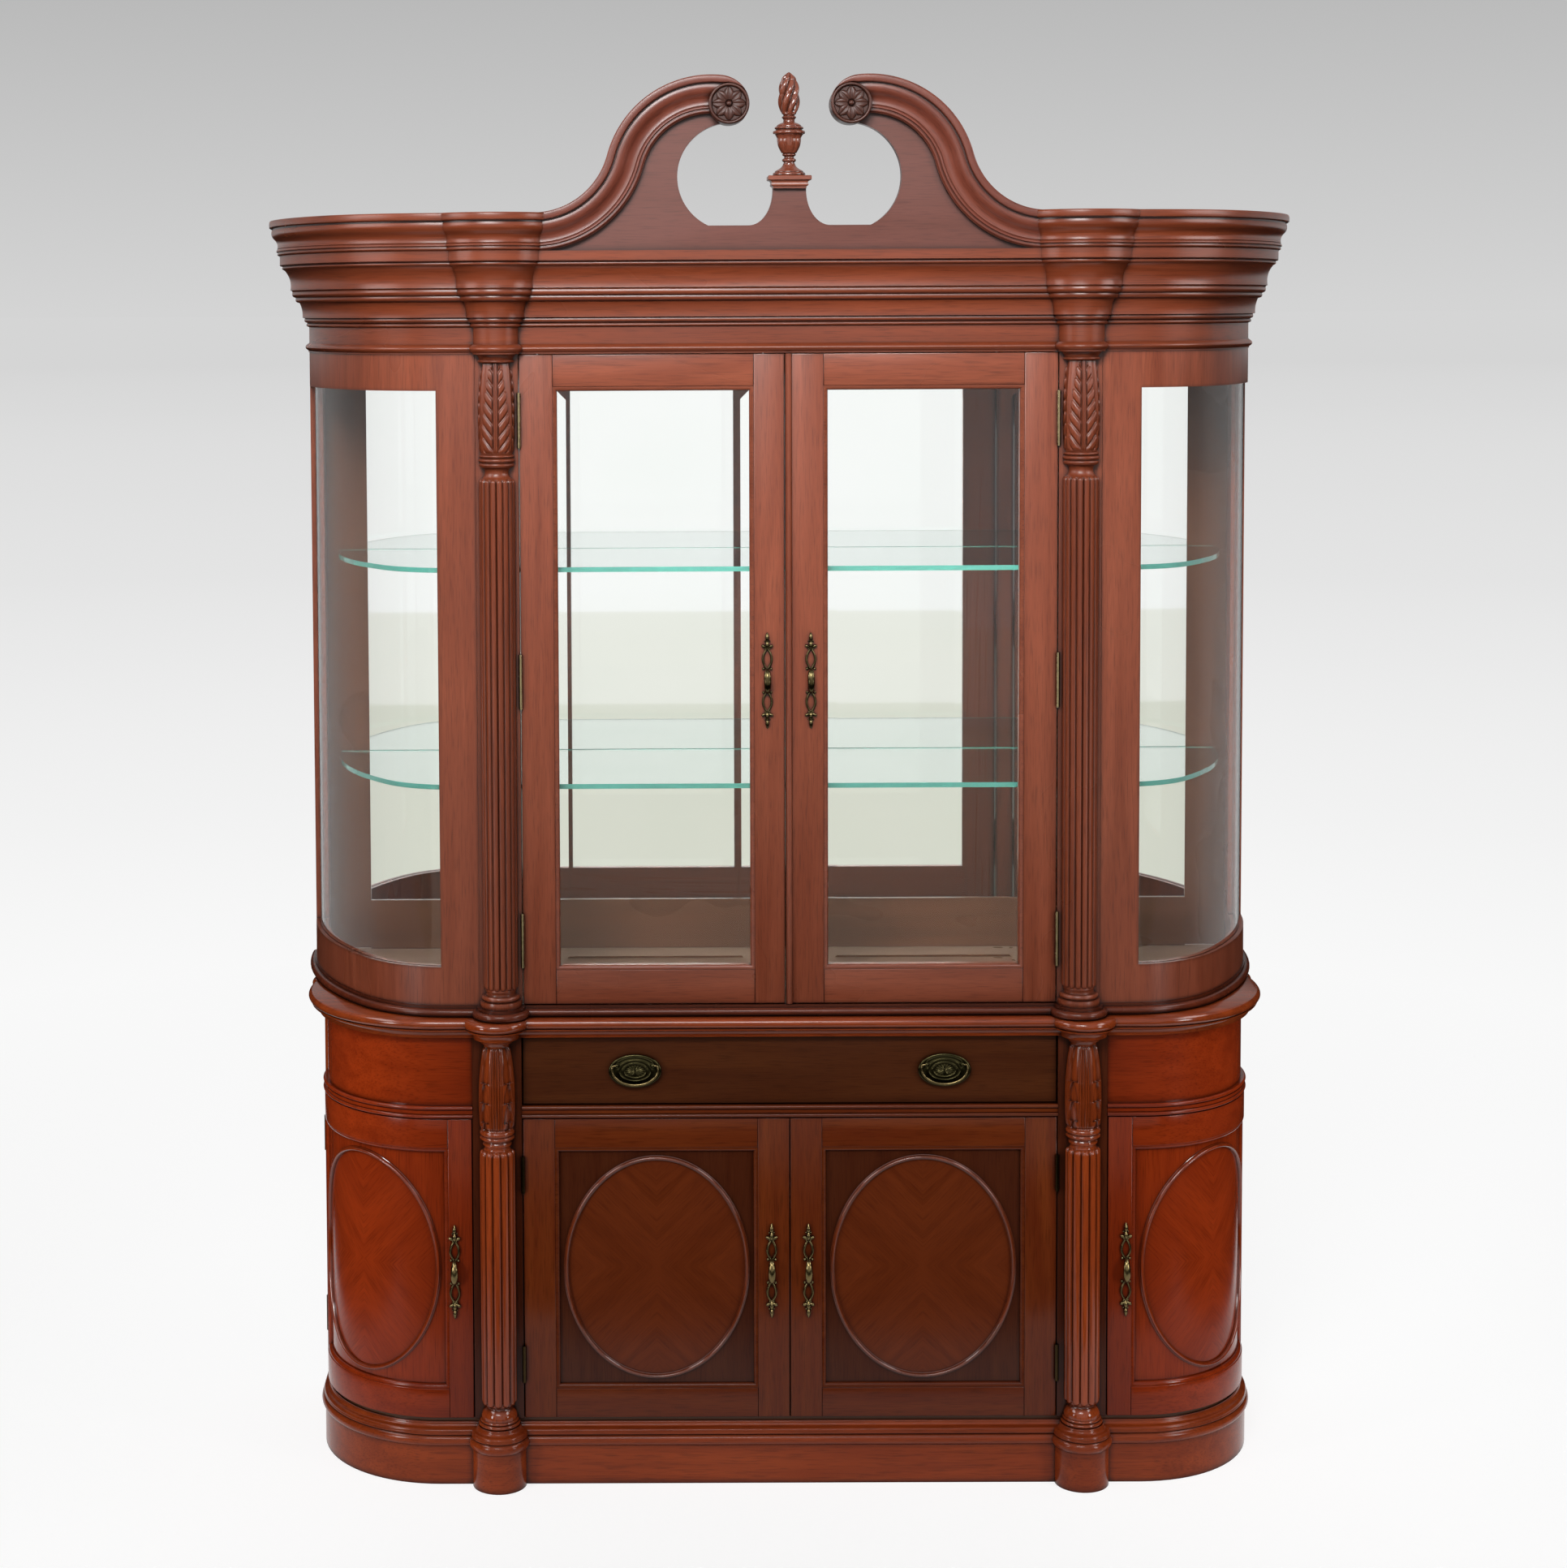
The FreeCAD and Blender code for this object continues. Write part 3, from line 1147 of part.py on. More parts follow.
doc.recompute()
failed = [item.Label for item in doc.Objects if {"Invalid", "Error"} & set(item.State)]
failed += [item.Label for item in nodes if item.Shape.isNull() or not item.Shape.isValid()]
if failed:
    raise RuntimeError("failed: " + ", ".join(failed))
os.makedirs("parts", exist_ok=True)
for item in nodes:
    item.Shape.exportStep(f"parts/{item.Label}.step")
    box_size = item.Shape.optimalBoundingBox(False)
    print(item.Label, len(item.Shape.Solids), [round(value, 1) for value in (
        box_size.XMin, box_size.XMax, box_size.YMin, box_size.YMax, box_size.ZMin, box_size.ZMax)])
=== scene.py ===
"""A two-piece china cabinet with a swan-neck pediment, dressed around its CAD frame."""
import math

import bmesh
import bpy
from mathutils import Matrix, Vector


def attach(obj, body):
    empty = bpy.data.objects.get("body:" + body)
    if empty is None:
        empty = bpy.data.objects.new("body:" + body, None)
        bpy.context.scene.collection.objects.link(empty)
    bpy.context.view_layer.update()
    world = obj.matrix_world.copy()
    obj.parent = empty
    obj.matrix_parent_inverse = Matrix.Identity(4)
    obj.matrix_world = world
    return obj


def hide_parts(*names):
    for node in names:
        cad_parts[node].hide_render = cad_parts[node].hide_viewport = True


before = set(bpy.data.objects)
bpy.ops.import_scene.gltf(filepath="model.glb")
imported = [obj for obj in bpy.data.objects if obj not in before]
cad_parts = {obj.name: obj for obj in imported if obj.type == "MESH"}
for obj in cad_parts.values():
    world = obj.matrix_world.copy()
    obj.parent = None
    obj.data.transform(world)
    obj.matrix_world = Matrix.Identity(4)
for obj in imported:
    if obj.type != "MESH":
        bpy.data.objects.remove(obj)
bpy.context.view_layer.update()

# Studio
# A pale floor that runs back into a soft grey ground, a broad lamp high in front and a small low one towards each end
# of the base, as furniture is lit for a catalogue page. The camera stands a little left of the middle, at eye height.


def linear(code):
    """An sRGB hex colour as the linear values that sockets take."""
    parts = [int(code[place:place + 2], 16) / 255 for place in (1, 3, 5)]
    return tuple(c / 12.92 if c <= 0.04045 else ((c + 0.055) / 1.055) ** 2.4 for c in parts) + (1.0,)


def feed(tree, node, inputs):
    """Gives each input of a node a plain value, or links it from a socket."""
    for name, value in inputs.items():
        if isinstance(value, bpy.types.NodeSocket):
            tree.links.new(value, node.inputs[name])
        else:
            node.inputs[name].default_value = value


def add(tree, kind, inputs=None, **settings):
    """Adds a node with its settings and feeds its inputs."""
    node = tree.nodes.new(kind)
    for name, value in settings.items():
        setattr(node, name, value)
    feed(tree, node, inputs or {})
    return node


def new_finish(name):
    """A new material with its node tree and its shader."""
    finish = bpy.data.materials.new(name)
    finish.use_nodes = True
    return finish, finish.node_tree, finish.node_tree.nodes["Principled BSDF"]


def seen_directly(tree):
    """1 where the eye meets the surface itself, in metal or through glass, and 0 for light that bounces."""
    sight = add(tree, "ShaderNodeLightPath").outputs
    shiny = add(tree, "ShaderNodeMath", {0: sight["Is Glossy Ray"], 1: sight["Is Transmission Ray"]},
                operation="MAXIMUM").outputs[0]
    return add(tree, "ShaderNodeMath", {0: sight["Is Camera Ray"], 1: shiny}, operation="MAXIMUM").outputs[0]


scene = bpy.context.scene
scene.view_settings.view_transform = "Standard"
world = bpy.data.worlds.new("soft_studio")
scene.world = world
world.use_nodes = True
tree = world.node_tree
tree.nodes.clear()
heading = add(tree, "ShaderNodeSeparateXYZ", {0: add(tree, "ShaderNodeTexCoord").outputs["Generated"]}).outputs
rise = add(tree, "ShaderNodeMapRange", {"Value": heading["Z"], "From Min": 0.0, "From Max": 0.115}).outputs[0]
ground = add(tree, "ShaderNodeMix", {0: rise, 6: linear("#D4D4D4"), 7: linear("#B9B9B9")}, data_type="RGBA").outputs[2]
# the open side of the studio, which the mirror sees, is white
open_side = add(tree, "ShaderNodeMapRange", {"Value": heading["Y"], "From Min": -0.3, "From Max": -0.6}).outputs[0]
ground = add(tree, "ShaderNodeMix", {0: open_side, 6: ground, 7: linear("#FFFFFF")}, data_type="RGBA").outputs[2]
backdrop = add(tree, "ShaderNodeBackground", {"Color": ground, "Strength": 1.0})
fill = add(tree, "ShaderNodeBackground", {"Color": linear("#FFFFFF"), "Strength": 0.30})
blend = add(tree, "ShaderNodeMixShader", {0: seen_directly(tree), 1: fill.outputs[0], 2: backdrop.outputs[0]})
add(tree, "ShaderNodeOutputWorld", {"Surface": blend.outputs[0]})

FLOOR_REACH, FADE_REACH = 900.0, 90.0
floor_mesh = bpy.data.meshes.new("studio_floor")
floor_span = (-FLOOR_REACH, FLOOR_REACH)
floor_mesh.from_pydata([(x, y, 0) for x in floor_span for y in floor_span], [], [(0, 2, 3, 1)])
floor = bpy.data.objects.new("studio_floor", floor_mesh)
scene.collection.objects.link(floor)

# Matt white paint: nearly even, greyer in the distance, with just enough shading to carry the cabinet's shadow
paint, tree, _ = new_finish("matt_floor_paint")
tree.nodes.clear()
spot = add(tree, "ShaderNodeTexCoord").outputs["Object"]
away = add(tree, "ShaderNodeVectorMath", {0: spot}, operation="LENGTH").outputs["Value"]
away = add(tree, "ShaderNodeMath", {0: away, 1: FADE_REACH}, operation="DIVIDE").outputs[0]
fade = add(tree, "ShaderNodeValToRGB", {0: away})
marks = fade.color_ramp.elements
marks[0].position, marks[0].color = 0.015, linear("#FFFFFF")
marks[1].position, marks[1].color = 1.0, linear("#D5D5D5")
for stop, code in ((0.021, "#FDFDFD"), (0.038, "#F9F9F9"), (0.067, "#F2F2F2"), (0.12, "#EAEAEA"), (0.17, "#E4E4E4"),
                   (0.27, "#E0E0E0"), (0.54, "#DADADA")):
    marks.new(stop).color = linear(code)
LIT_SHARE, SHADED_SHARE = 0.80, 0.30
lit = add(tree, "ShaderNodeEmission", {"Color": fade.outputs[0], "Strength": LIT_SHARE})
shaded = add(tree, "ShaderNodeBsdfDiffuse", {"Color": (SHADED_SHARE, SHADED_SHARE, SHADED_SHARE, 1)})
near_floor = add(tree, "ShaderNodeAddShader", {0: lit.outputs[0], 1: shaded.outputs[0]})
far_floor = add(tree, "ShaderNodeEmission", {"Color": fade.outputs[0], "Strength": 1.0})
far_share = add(tree, "ShaderNodeMapRange", {"Value": away, "From Min": 0.012, "From Max": 0.04}).outputs[0]
even = add(tree, "ShaderNodeMixShader", {0: far_share, 1: near_floor.outputs[0], 2: far_floor.outputs[0]})
bounce = add(tree, "ShaderNodeBsdfDiffuse", {"Color": linear("#DCDCDA")})
paint_mix = add(tree, "ShaderNodeMixShader", {0: seen_directly(tree), 1: bounce.outputs[0], 2: even.outputs[0]})
add(tree, "ShaderNodeOutputMaterial", {"Surface": paint_mix.outputs[0]})
floor_mesh.materials.append(paint)

# Cards that show in gloss only: dark ones at the sides and on the floor keep the wood deep, and a white strip high at
# each side puts small lights on the turned work. A white wall over a pale floor faces the mirror, through the glass too
CARD_X, CARD_Y, CARD_TALL, CARD_FELT = 2.3, (-3.6, 12.0), 1.75, "#1E1816"
STRIP_X, STRIP_Y, STRIP_Z, STRIP_STRENGTH = 2.25, (-1.7, -0.4), (2.05, 3.2), 9.0
CLOTH_X, CLOTH_Y, CLOTH_Z, CLOTH_FELT = 1.3, (-3.2, -0.75), 0.003, "#1C1714"
WALL_X, WALL_Y, WALL_TALL, SKIRTING_TALL = 6.0, -8.0, 6.0, 0.45


def studio_card(name, xs, ys, zs, colour, strength=1.0, in_glass=False):
    """A flat card across two of its three spans, seen in gloss and, where asked, through glass."""
    mesh = bpy.data.meshes.new(name)
    mesh.from_pydata([(x, y, z) for x in xs for y in ys for z in zs], [], [(0, 1, 3, 2)])
    finish, tree, _ = new_finish(name + "_felt")
    tree.nodes.clear()
    shown = add(tree, "ShaderNodeEmission", {"Color": linear(colour), "Strength": strength})
    add(tree, "ShaderNodeOutputMaterial", {"Surface": shown.outputs[0]})
    finish.cycles.emission_sampling = "NONE"
    mesh.materials.append(finish)
    card = bpy.data.objects.new(name, mesh)
    scene.collection.objects.link(card)
    card.visible_camera = card.visible_diffuse = card.visible_shadow = False
    card.visible_transmission = in_glass


for name, sign in (("left", -1), ("right", 1)):
    studio_card(name + "_card", (sign * CARD_X,), CARD_Y, (0.0, CARD_TALL), CARD_FELT)
    studio_card(name + "_strip", (sign * STRIP_X,), STRIP_Y, STRIP_Z, "#FFFFFF", STRIP_STRENGTH)
    studio_card(name + "_cloth", (sign * CLOTH_X, sign * CARD_X), (CLOTH_Y[1], CARD_Y[1]), (CLOTH_Z,), CLOTH_FELT)
studio_card("front_cloth", (-CARD_X, CARD_X), CLOTH_Y, (CLOTH_Z,), CLOTH_FELT)
studio_card("front_floor", (-WALL_X, WALL_X), (WALL_Y, CLOTH_Y[0]), (CLOTH_Z,), "#E0E1D5", in_glass=True)
studio_card("front_skirting", (-WALL_X, WALL_X), (WALL_Y,), (0.0, SKIRTING_TALL), "#F0F0E9", in_glass=True)
studio_card("front_wall", (-WALL_X, WALL_X), (WALL_Y,), (SKIRTING_TALL, WALL_TALL), "#FFFFFF", in_glass=True)

unlit_panes = bpy.data.collections.new("panes_without_side_light")
for name, place, aim, size, beam, watts in (
    ("high_front_lamp", (-0.6, -3.2, 3.5), (0.0, -0.15, 1.95), (2.2, 1.0), 52, 24),
    ("left_lamp", (-1.9, -1.5, 0.9), (-0.72, -0.05, 0.40), (0.35, 0.7), 70, 2.8),
    ("right_lamp", (1.9, -1.5, 0.9), (0.72, -0.05, 0.40), (0.35, 0.7), 70, 2.4),
):
    lamp = bpy.data.lights.new(name, "AREA")
    lamp.shape = "RECTANGLE"
    lamp.size, lamp.size_y = size
    lamp.spread = math.radians(beam)
    lamp.energy = watts
    stand = bpy.data.objects.new(name, lamp)
    if name != "high_front_lamp":
        stand.light_linking.receiver_collection = unlit_panes
    stand.matrix_world = Matrix.Translation(place) @ (
        (Vector(aim) - Vector(place)).to_track_quat("-Z", "Y").to_matrix().to_4x4())
    scene.collection.objects.link(stand)

FRAME_WIDE, FRAME_HIGH = 1931, 1932
FOCAL_PIXELS = 3327.93
OPTICAL_CENTRE = (779.58, 579.04)
EYE = Vector((-0.2306, -4.4324, 1.90217))
PITCH, YAW, ROLL = math.radians(3.41), math.radians(0.23), math.radians(-0.30)
lens = bpy.data.cameras.new("studio_camera")
lens.sensor_fit = "HORIZONTAL"
lens.sensor_width = 36
lens.lens = lens.sensor_width * FOCAL_PIXELS / FRAME_WIDE
lens.shift_x = (FRAME_WIDE / 2 - OPTICAL_CENTRE[0]) / FRAME_WIDE
lens.shift_y = (OPTICAL_CENTRE[1] - FRAME_HIGH / 2) / FRAME_WIDE
camera = bpy.data.objects.new("studio_camera", lens)
camera.matrix_world = (Matrix.Translation(EYE) @ Matrix.Rotation(YAW, 4, "Z")
                       @ Matrix.Rotation(math.pi / 2 - PITCH, 4, "X") @ Matrix.Rotation(ROLL, 4, "Z"))
scene.collection.objects.link(camera)
scene.camera = camera

# Plinth, base moulding and bottom board
# The plinth is a hollow frame of veneered boards, with a turned drum under each column. A moulding run in solid
# mahogany is planted on its top edge, and the bottom board of the base lies inside it.


def lacquered_mahogany(name, ground, ribbon, glaze_and_shade, shine, gloss, toning=0.35, shaded=None, pore=1.0):
    """Mahogany under tinted satin lacquer: ribbon figure, short dark pores, toned arrises, and a dark colour in the
    quirks that is partly glazing, partly painted shade; where asked, painted shade along one axis too.
    """
    finish, tree, skin = new_finish(name)
    grain = add(tree, "ShaderNodeAttribute", attribute_name="grain").outputs["Vector"]
    # ribbons 420 mm long and 26 mm wide; pores 40 mm long and 2 mm apart, coarser than the real 0.3 mm so that they
    # show at this size; cloudy patches of the hand-rubbed tint, about 150 mm across
    figures = []
    for long, wide, detail, rough, bent in ((0.42, 0.026, 4.0, 0.6, 0.5), (0.040, 0.002, 2.0, 0.5, 0.0),
                                            (0.30, 0.15, 2.0, 0.5, 0.0)):
        run = add(tree, "ShaderNodeMapping", {"Vector": grain, "Scale": (1 / long, 1 / wide, 1 / wide)}).outputs[0]
        figures.append(add(tree, "ShaderNodeTexNoise", {"Vector": run, "Scale": 1.0, "Detail": detail,
                                                        "Roughness": rough, "Distortion": bent}).outputs["Fac"])
    ribbons, pores, clouds = figures
    # one row for each coat and each painted shade: what it follows, from where to where, how dense it is at both ends,
    # its colour
    coats = [(ribbons, 0.34, 0.68, 0.0, 1.0, ribbon), (clouds, 0.42, 0.75, 0.0, 0.45, ribbon),
             (pores, 0.50, 0.72, 0.0, 0.38 * pore, glaze_and_shade)]
    if shaded:
        # painted shade, where less light falls: darker towards the middle of the cabinet at the ends, towards the foot
        # of the hutch, and at the head of a column
        axis, start, stop, depth = shaded
        spot = add(tree, "ShaderNodeTexCoord").outputs["Object"]
        aside = add(tree, "ShaderNodeSeparateXYZ", {"Vector": spot}).outputs[axis]
        away = add(tree, "ShaderNodeMath", {0: aside}, operation="ABSOLUTE").outputs[0]
        coats.append((away, start, stop, depth, 0.0, glaze_and_shade))
    if toning is not None:
        # toner about 9 mm wide along every arris; and a dark colour where a finger-wide cloth can't reach, found by
        # occlusion: partly glazing left in the quirks, partly painted shade in the hollows
        rounded = add(tree, "ShaderNodeBevel", {"Radius": 0.009}, samples=4).outputs[0]
        true_face = add(tree, "ShaderNodeNewGeometry").outputs["Normal"]
        facing = add(tree, "ShaderNodeVectorMath", {0: rounded, 1: true_face}, operation="DOT_PRODUCT").outputs["Value"]
        openness = add(tree, "ShaderNodeAmbientOcclusion", {"Distance": 0.012}, samples=6).outputs["AO"]
        coats += [(facing, 0.80, 0.995, toning, 0.0, glaze_and_shade), (openness, 0.40, 0.92, 0.95, 0.0, glaze_and_shade)]
    colour = linear(ground)
    for follows, low, high, first, last, tint in coats:
        dense = add(tree, "ShaderNodeMapRange", {"Value": follows, "From Min": low, "From Max": high, "To Min": first,
                                                 "To Max": last}).outputs[0]
        colour = add(tree, "ShaderNodeMix", {0: dense, 6: colour, 7: linear(tint)}, data_type="RGBA").outputs[2]
    dull = add(tree, "ShaderNodeMapRange", {"Value": clouds, "From Min": 0.3, "From Max": 0.7,
                                            "To Min": shine - 0.05, "To Max": shine + 0.07}).outputs[0]
    relief = add(tree, "ShaderNodeBump", {"Height": pores, "Strength": 0.10 * pore, "Distance": 0.0003}).outputs[0]
    feed(tree, skin, {"Base Color": colour, "Roughness": dull, "Normal": relief, "IOR": 1.5,
                      "Specular IOR Level": gloss})
    return finish


base_mahogany = lacquered_mahogany("mahogany_red_lacquer", "#943E18", "#7A2F11", "#220C05", 0.18, 0.19)
inside_board = lacquered_mahogany("mahogany_inside_stain", "#50311F", "#442817", "#1E0E08", 0.30, 0.25, None,
                                  pore=0.1)


def lay_grain(places, lie):
    """Points turned so that their first value runs along the grain, which lies along one axis."""
    order = {"x": (0, 1, 2), "y": (1, 0, 2), "z": (2, 0, 1)}[lie]
    return [tuple(place[axis] for axis in order) for place in places]


def grained_mesh(name, places, faces, runs):
    """A smooth mesh with its grain laid and its normals outward."""
    shape = bmesh.new()
    grain = shape.verts.layers.float_vector.new("grain")
    for place, run in zip(places, runs):
        shape.verts.new(place)[grain] = run
    shape.verts.ensure_lookup_table()
    for face in faces:
        shape.faces.new([shape.verts[index] for index in face])
    bmesh.ops.remove_doubles(shape, verts=shape.verts, dist=2e-6)
    bmesh.ops.dissolve_degenerate(shape, edges=shape.edges, dist=1e-6)
    bmesh.ops.recalc_face_normals(shape, faces=shape.faces)
    mesh = bpy.data.meshes.new(name)
    shape.to_mesh(mesh)
    shape.free()
    mesh.shade_smooth()
    return mesh


def settle(name, mesh, body, slot, stands_for=()):
    """The mesh as a piece that rides on a body and stands for nodes of the CAD model, which it hides; the slot is not
    used.
    """
    made = bpy.data.objects.new(name, mesh)
    scene.collection.objects.link(made)
    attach(made, body)
    if stands_for:
        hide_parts(*stands_for)
    return made


def piece(name, shape, finish, body, slot, stands_for=(), lie="x", crease=32):
    """A piece from vertices and faces, with its grain along an axis unless the shape brings its own."""
    places, faces, *runs = shape
    mesh = grained_mesh(name, places, faces, runs[0] if runs else lay_grain(places, lie))
    mesh.set_sharp_from_angle(angle=math.radians(crease))
    mesh.materials.append(finish)
    return settle(name, mesh, body, slot, stands_for)


def dress(name, node, finish, slot, body="case", lie="x", ease=0.0, keep=None, crease=30):
    """A CAD board taken over as it is cut, with its grain laid and its arrises eased by a small round."""
    shape = bmesh.new()
    shape.from_mesh(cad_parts[node].data)
    if keep:
        bmesh.ops.delete(shape, geom=[vert for vert in shape.verts if not keep(vert.co)], context="VERTS")
    bmesh.ops.remove_doubles(shape, verts=shape.verts, dist=1e-6)
    bmesh.ops.dissolve_limit(shape, angle_limit=math.radians(0.5), verts=shape.verts, edges=shape.edges)
    shape.verts.index_update()
    places = [tuple(vert.co) for vert in shape.verts]
    faces = [[vert.index for vert in face.verts] for face in shape.faces]
    shape.free()
    made = piece(name, (places, faces), finish, body, slot, [node], lie, 180 if ease else crease)
    if ease:
        edge = made.modifiers.new("eased_arris", "BEVEL")
        edge.width = ease
        edge.segments = 2
        edge.limit_method = "ANGLE"
        edge.angle_limit = math.radians(40)
        edge.harden_normals = True
    return made


dress("plinth_boards", "plinth", base_mahogany, "base_wood")

FACE_Y, BACK_Y, SIDE_X = -0.150, 0.255, 0.762
ARC_X, ARC_Y, ARC_RADIUS = 0.567, 0.055, 0.205
BASE_COLUMN_X, COLUMN_Y = 0.4715, -0.153


def bridge(loops, close=False):
    """Vertices and faces between closed loops of equal length, one after the other."""
    count = len(loops[0])
    places = [spot for ring in loops for spot in ring]
    faces = []
    for row in range(len(loops) - (0 if close else 1)):
        low, high = row * count, (row + 1) % len(loops) * count
        faces += [(low + step, low + (step + 1) % count, high + (step + 1) % count, high + step)
                  for step in range(count)]
    return places, faces


def capped(loops):
    """The same, with the first and the last loop filled in."""
    places, faces = bridge(loops)
    count, last = len(loops[0]), len(places) - len(loops[0])
    return places, faces + [tuple(range(count)), tuple(range(last, last + count))]


def spread(start, stop, steps):
    """Values in even steps from one to another."""
    return [start + (stop - start) * step / steps for step in range(steps + 1)]


def moulding_line(*stops):
    """Outline of a moulding in mm from (reach, height, bow) stops, each bow swelling the run to the next stop."""
    line = []
    for (out, high, bow), (next_out, next_high, _) in zip(stops, stops[1:]):
        length = math.hypot(next_out - out, next_high - high)
        for share in spread(0, 1, 8 if bow else 1)[:-1]:
            push = 4 * bow * share * (1 - share) / length
            line.append((out + (next_out - out) * share + push * (next_high - high),
                         high + (next_high - high) * share - push * (next_out - out)))
    return [(out / 1000, high / 1000) for out, high in line + [stops[-1][:2]]]


def arc(centre, radius, start, stop, steps):
    """Points on an arc in plan, turned from straight ahead towards the right."""
    return [(centre[0] + radius * math.sin(turn), centre[1] - radius * math.cos(turn))
            for turn in spread(start, stop, steps)]


def plan_line(out, front_lobe, rear_lobe=None):
    """Outline in plan at a reach: front, lobe round the column, curved end, lobe round the rear post, straight side."""
    lobe, bend, side = front_lobe + out, ARC_RADIUS + out, ARC_X + ARC_RADIUS + out
    opening = math.acos((out + COLUMN_Y - FACE_Y) / lobe)
    half = arc((BASE_COLUMN_X, COLUMN_Y), lobe, -opening, opening, 32)
    if rear_lobe:
        x, y, rear = rear_lobe[0], rear_lobe[1], rear_lobe[2] + out
        apart, bearing = math.hypot(x - ARC_X, y - ARC_Y), math.atan2(x - ARC_X, ARC_Y - y)
        meet = bearing - math.acos((bend ** 2 + apart ** 2 - rear ** 2) / (2 * bend * apart))
        start = math.atan2(ARC_X + bend * math.sin(meet) - x, y - ARC_Y + bend * math.cos(meet))
        side = SIDE_X + out / 2
        half += arc((ARC_X, ARC_Y), bend, 0, meet, 40)
        half += arc((x, y), rear, start, math.pi - math.asin((side - x) / rear), 24)
    else:
        half += arc((ARC_X, ARC_Y), bend, 0, math.pi / 2, 40)
    half.append((side, BACK_Y))
    return half + [(-x, y) for x, y in reversed(half)]


DRUM_LOBE = 0.039
plinth_section = moulding_line(
    (4.6, 57, 0), (5.2, 57, 0), (5.2, 63, 0), (6.2, 63.5, 4.6), (6.2, 80.5, 0), (5.3, 81, 0), (5.3, 82.2, 0),
    (7.2, 82.5, 0), (7.2, 84.5, 0), (6.8, 85, 1.6), (2.2, 91.5, -1.6), (-4, 98.5, 0), (-4.5, 99, 0), (-4.5, 100, 0),
    (-9, 100, 0), (-9, 88.3, 0), (4.6, 88.3, 0))
loops = [[(x, y, high) for x, y in plan_line(out, DRUM_LOBE)] for out, high in plinth_section]
piece("plinth_moulding", bridge(loops, close=True), base_mahogany, "case", "base_wood", ["base_moulding"], crease=40)
dress("bottom_board", "base_floor", inside_board, "inside_wood")

# Base case
# Posts, partitions, sides and rear posts of mahogany stand on the bottom board, with a thin plywood back, a fixed
# shelf and a rail above the doors. The ends have a bent rail and frieze, glued up in layers and veneered.
post_mahogany = lacquered_mahogany("mahogany_dark_toned", "#4A200F", "#3E180A", "#160703", 0.20, 0.15)
dress("front_posts", "base_posts", post_mahogany, "base_wood", lie="z", ease=0.001)
dress("partition_boards", "base_partitions", inside_board, "inside_wood", lie="z", ease=0.0008)
dress("rear_corner_posts", "rear_posts", base_mahogany, "base_wood", lie="z")
dress("side_boards", "base_sides", base_mahogany, "base_wood", lie="z", ease=0.0008)
dress("base_back_panel", "base_back", inside_board, "inside_wood", lie="z", ease=0.0006)
dress("cupboard_shelf", "base_shelf", inside_board, "inside_wood", ease=0.0015)
# the centre doors and the front waist rail are coloured a darker red than the ends of the same wood: painted shade for
# the less lit middle
door_mahogany_with_painted_shade = lacquered_mahogany("mahogany_red_with_painted_shade", "#652C10", "#55200B", "#1C0904", 0.18, 0.18)
# the ends are coloured a brighter red than the centre doors of the same wood, as painted light where the side lamps
# fall, with painted shade darkening them towards their flat front
end_mahogany_with_painted_light = lacquered_mahogany("mahogany_red_with_painted_light_and_shade", "#92320F", "#7C270A", "#280C04", 0.18, 0.18, 0.2,
                                  shaded=("X", 0.52, 0.70, 0.42))


def flat_place(sign):
    """A flat door's points where they are drawn, or in the mirror for the left-hand door."""
    return lambda x, y, z: (sign * x, y, z)


def bent_place(sign):
    """Points drawn on the unrolled end, laid back on its curve."""
    def place(run, y, z):
        out = FACE_Y - y
        turn = max(run - ARC_X, 0) / ARC_RADIUS
        x = min(run, ARC_X) + (ARC_RADIUS + out) * math.sin(turn)
        return (sign * x, ARC_Y - (ARC_RADIUS + out) * math.cos(turn), z)
    return place


CUT_ALONG, CUT_ACROSS = 1.7, 0.31


def joined(parts):
    """Several meshes as one, each with its grain as if it were cut from another place in the log."""
    places, faces, runs = [], [], []
    for number, (more_places, more_faces, lie) in enumerate(parts):
        faces += [tuple(index + len(places) for index in face) for face in more_faces]
        places += more_places
        shift = CUT_ALONG * number
        laid = lay_grain(more_places, lie) if isinstance(lie, str) else lie
        runs += [(run[0] + shift, run[1] + CUT_ACROSS * shift, run[2]) for run in laid]
    return places, faces, runs


def moulded_run(section, runs, place):
    """A moulding of closed section carried along a door's or rail's run."""
    return capped([[place(run, FACE_Y - out, high) for out, high in section] for run in runs])


waist_section = moulding_line(
    (-20, 601, 0), (0, 601, 0), (0.4, 601.3, 1.9), (0.4, 607.2, 0), (-1.0, 607.5, 0), (-1.0, 608.3, 0), (0.2, 608.5, 0),
    (0.2, 613.5, 0), (-1.0, 613.7, 0), (-1.0, 614.5, 0), (0.4, 614.8, 1.9), (0.4, 620.7, 0), (0, 621, 0), (-20, 621, 0))
WAIST_FRONT = (-0.4315, 0.4315)
WAIST_END = (0.5115, ARC_X + ARC_RADIUS * math.radians(96.5))
piece("waist_rail_front", moulded_run(waist_section, WAIST_FRONT, flat_place(1)), door_mahogany_with_painted_shade, "case", "base_wood",
      ["waist_rail"])
parts = [moulded_run(waist_section, spread(*WAIST_END, 40), bent_place(sign)) + ("x",) for sign in (-1, 1)]
piece("waist_rail_ends", joined(parts), end_mahogany_with_painted_light, "case", "base_wood", ["end_waist_rails"])
dress("end_frieze_boards", "end_friezes", end_mahogany_with_painted_light, "base_wood")
dress("runner_boards", "drawer_runners", inside_board, "inside_wood", lie="y", ease=0.0008)

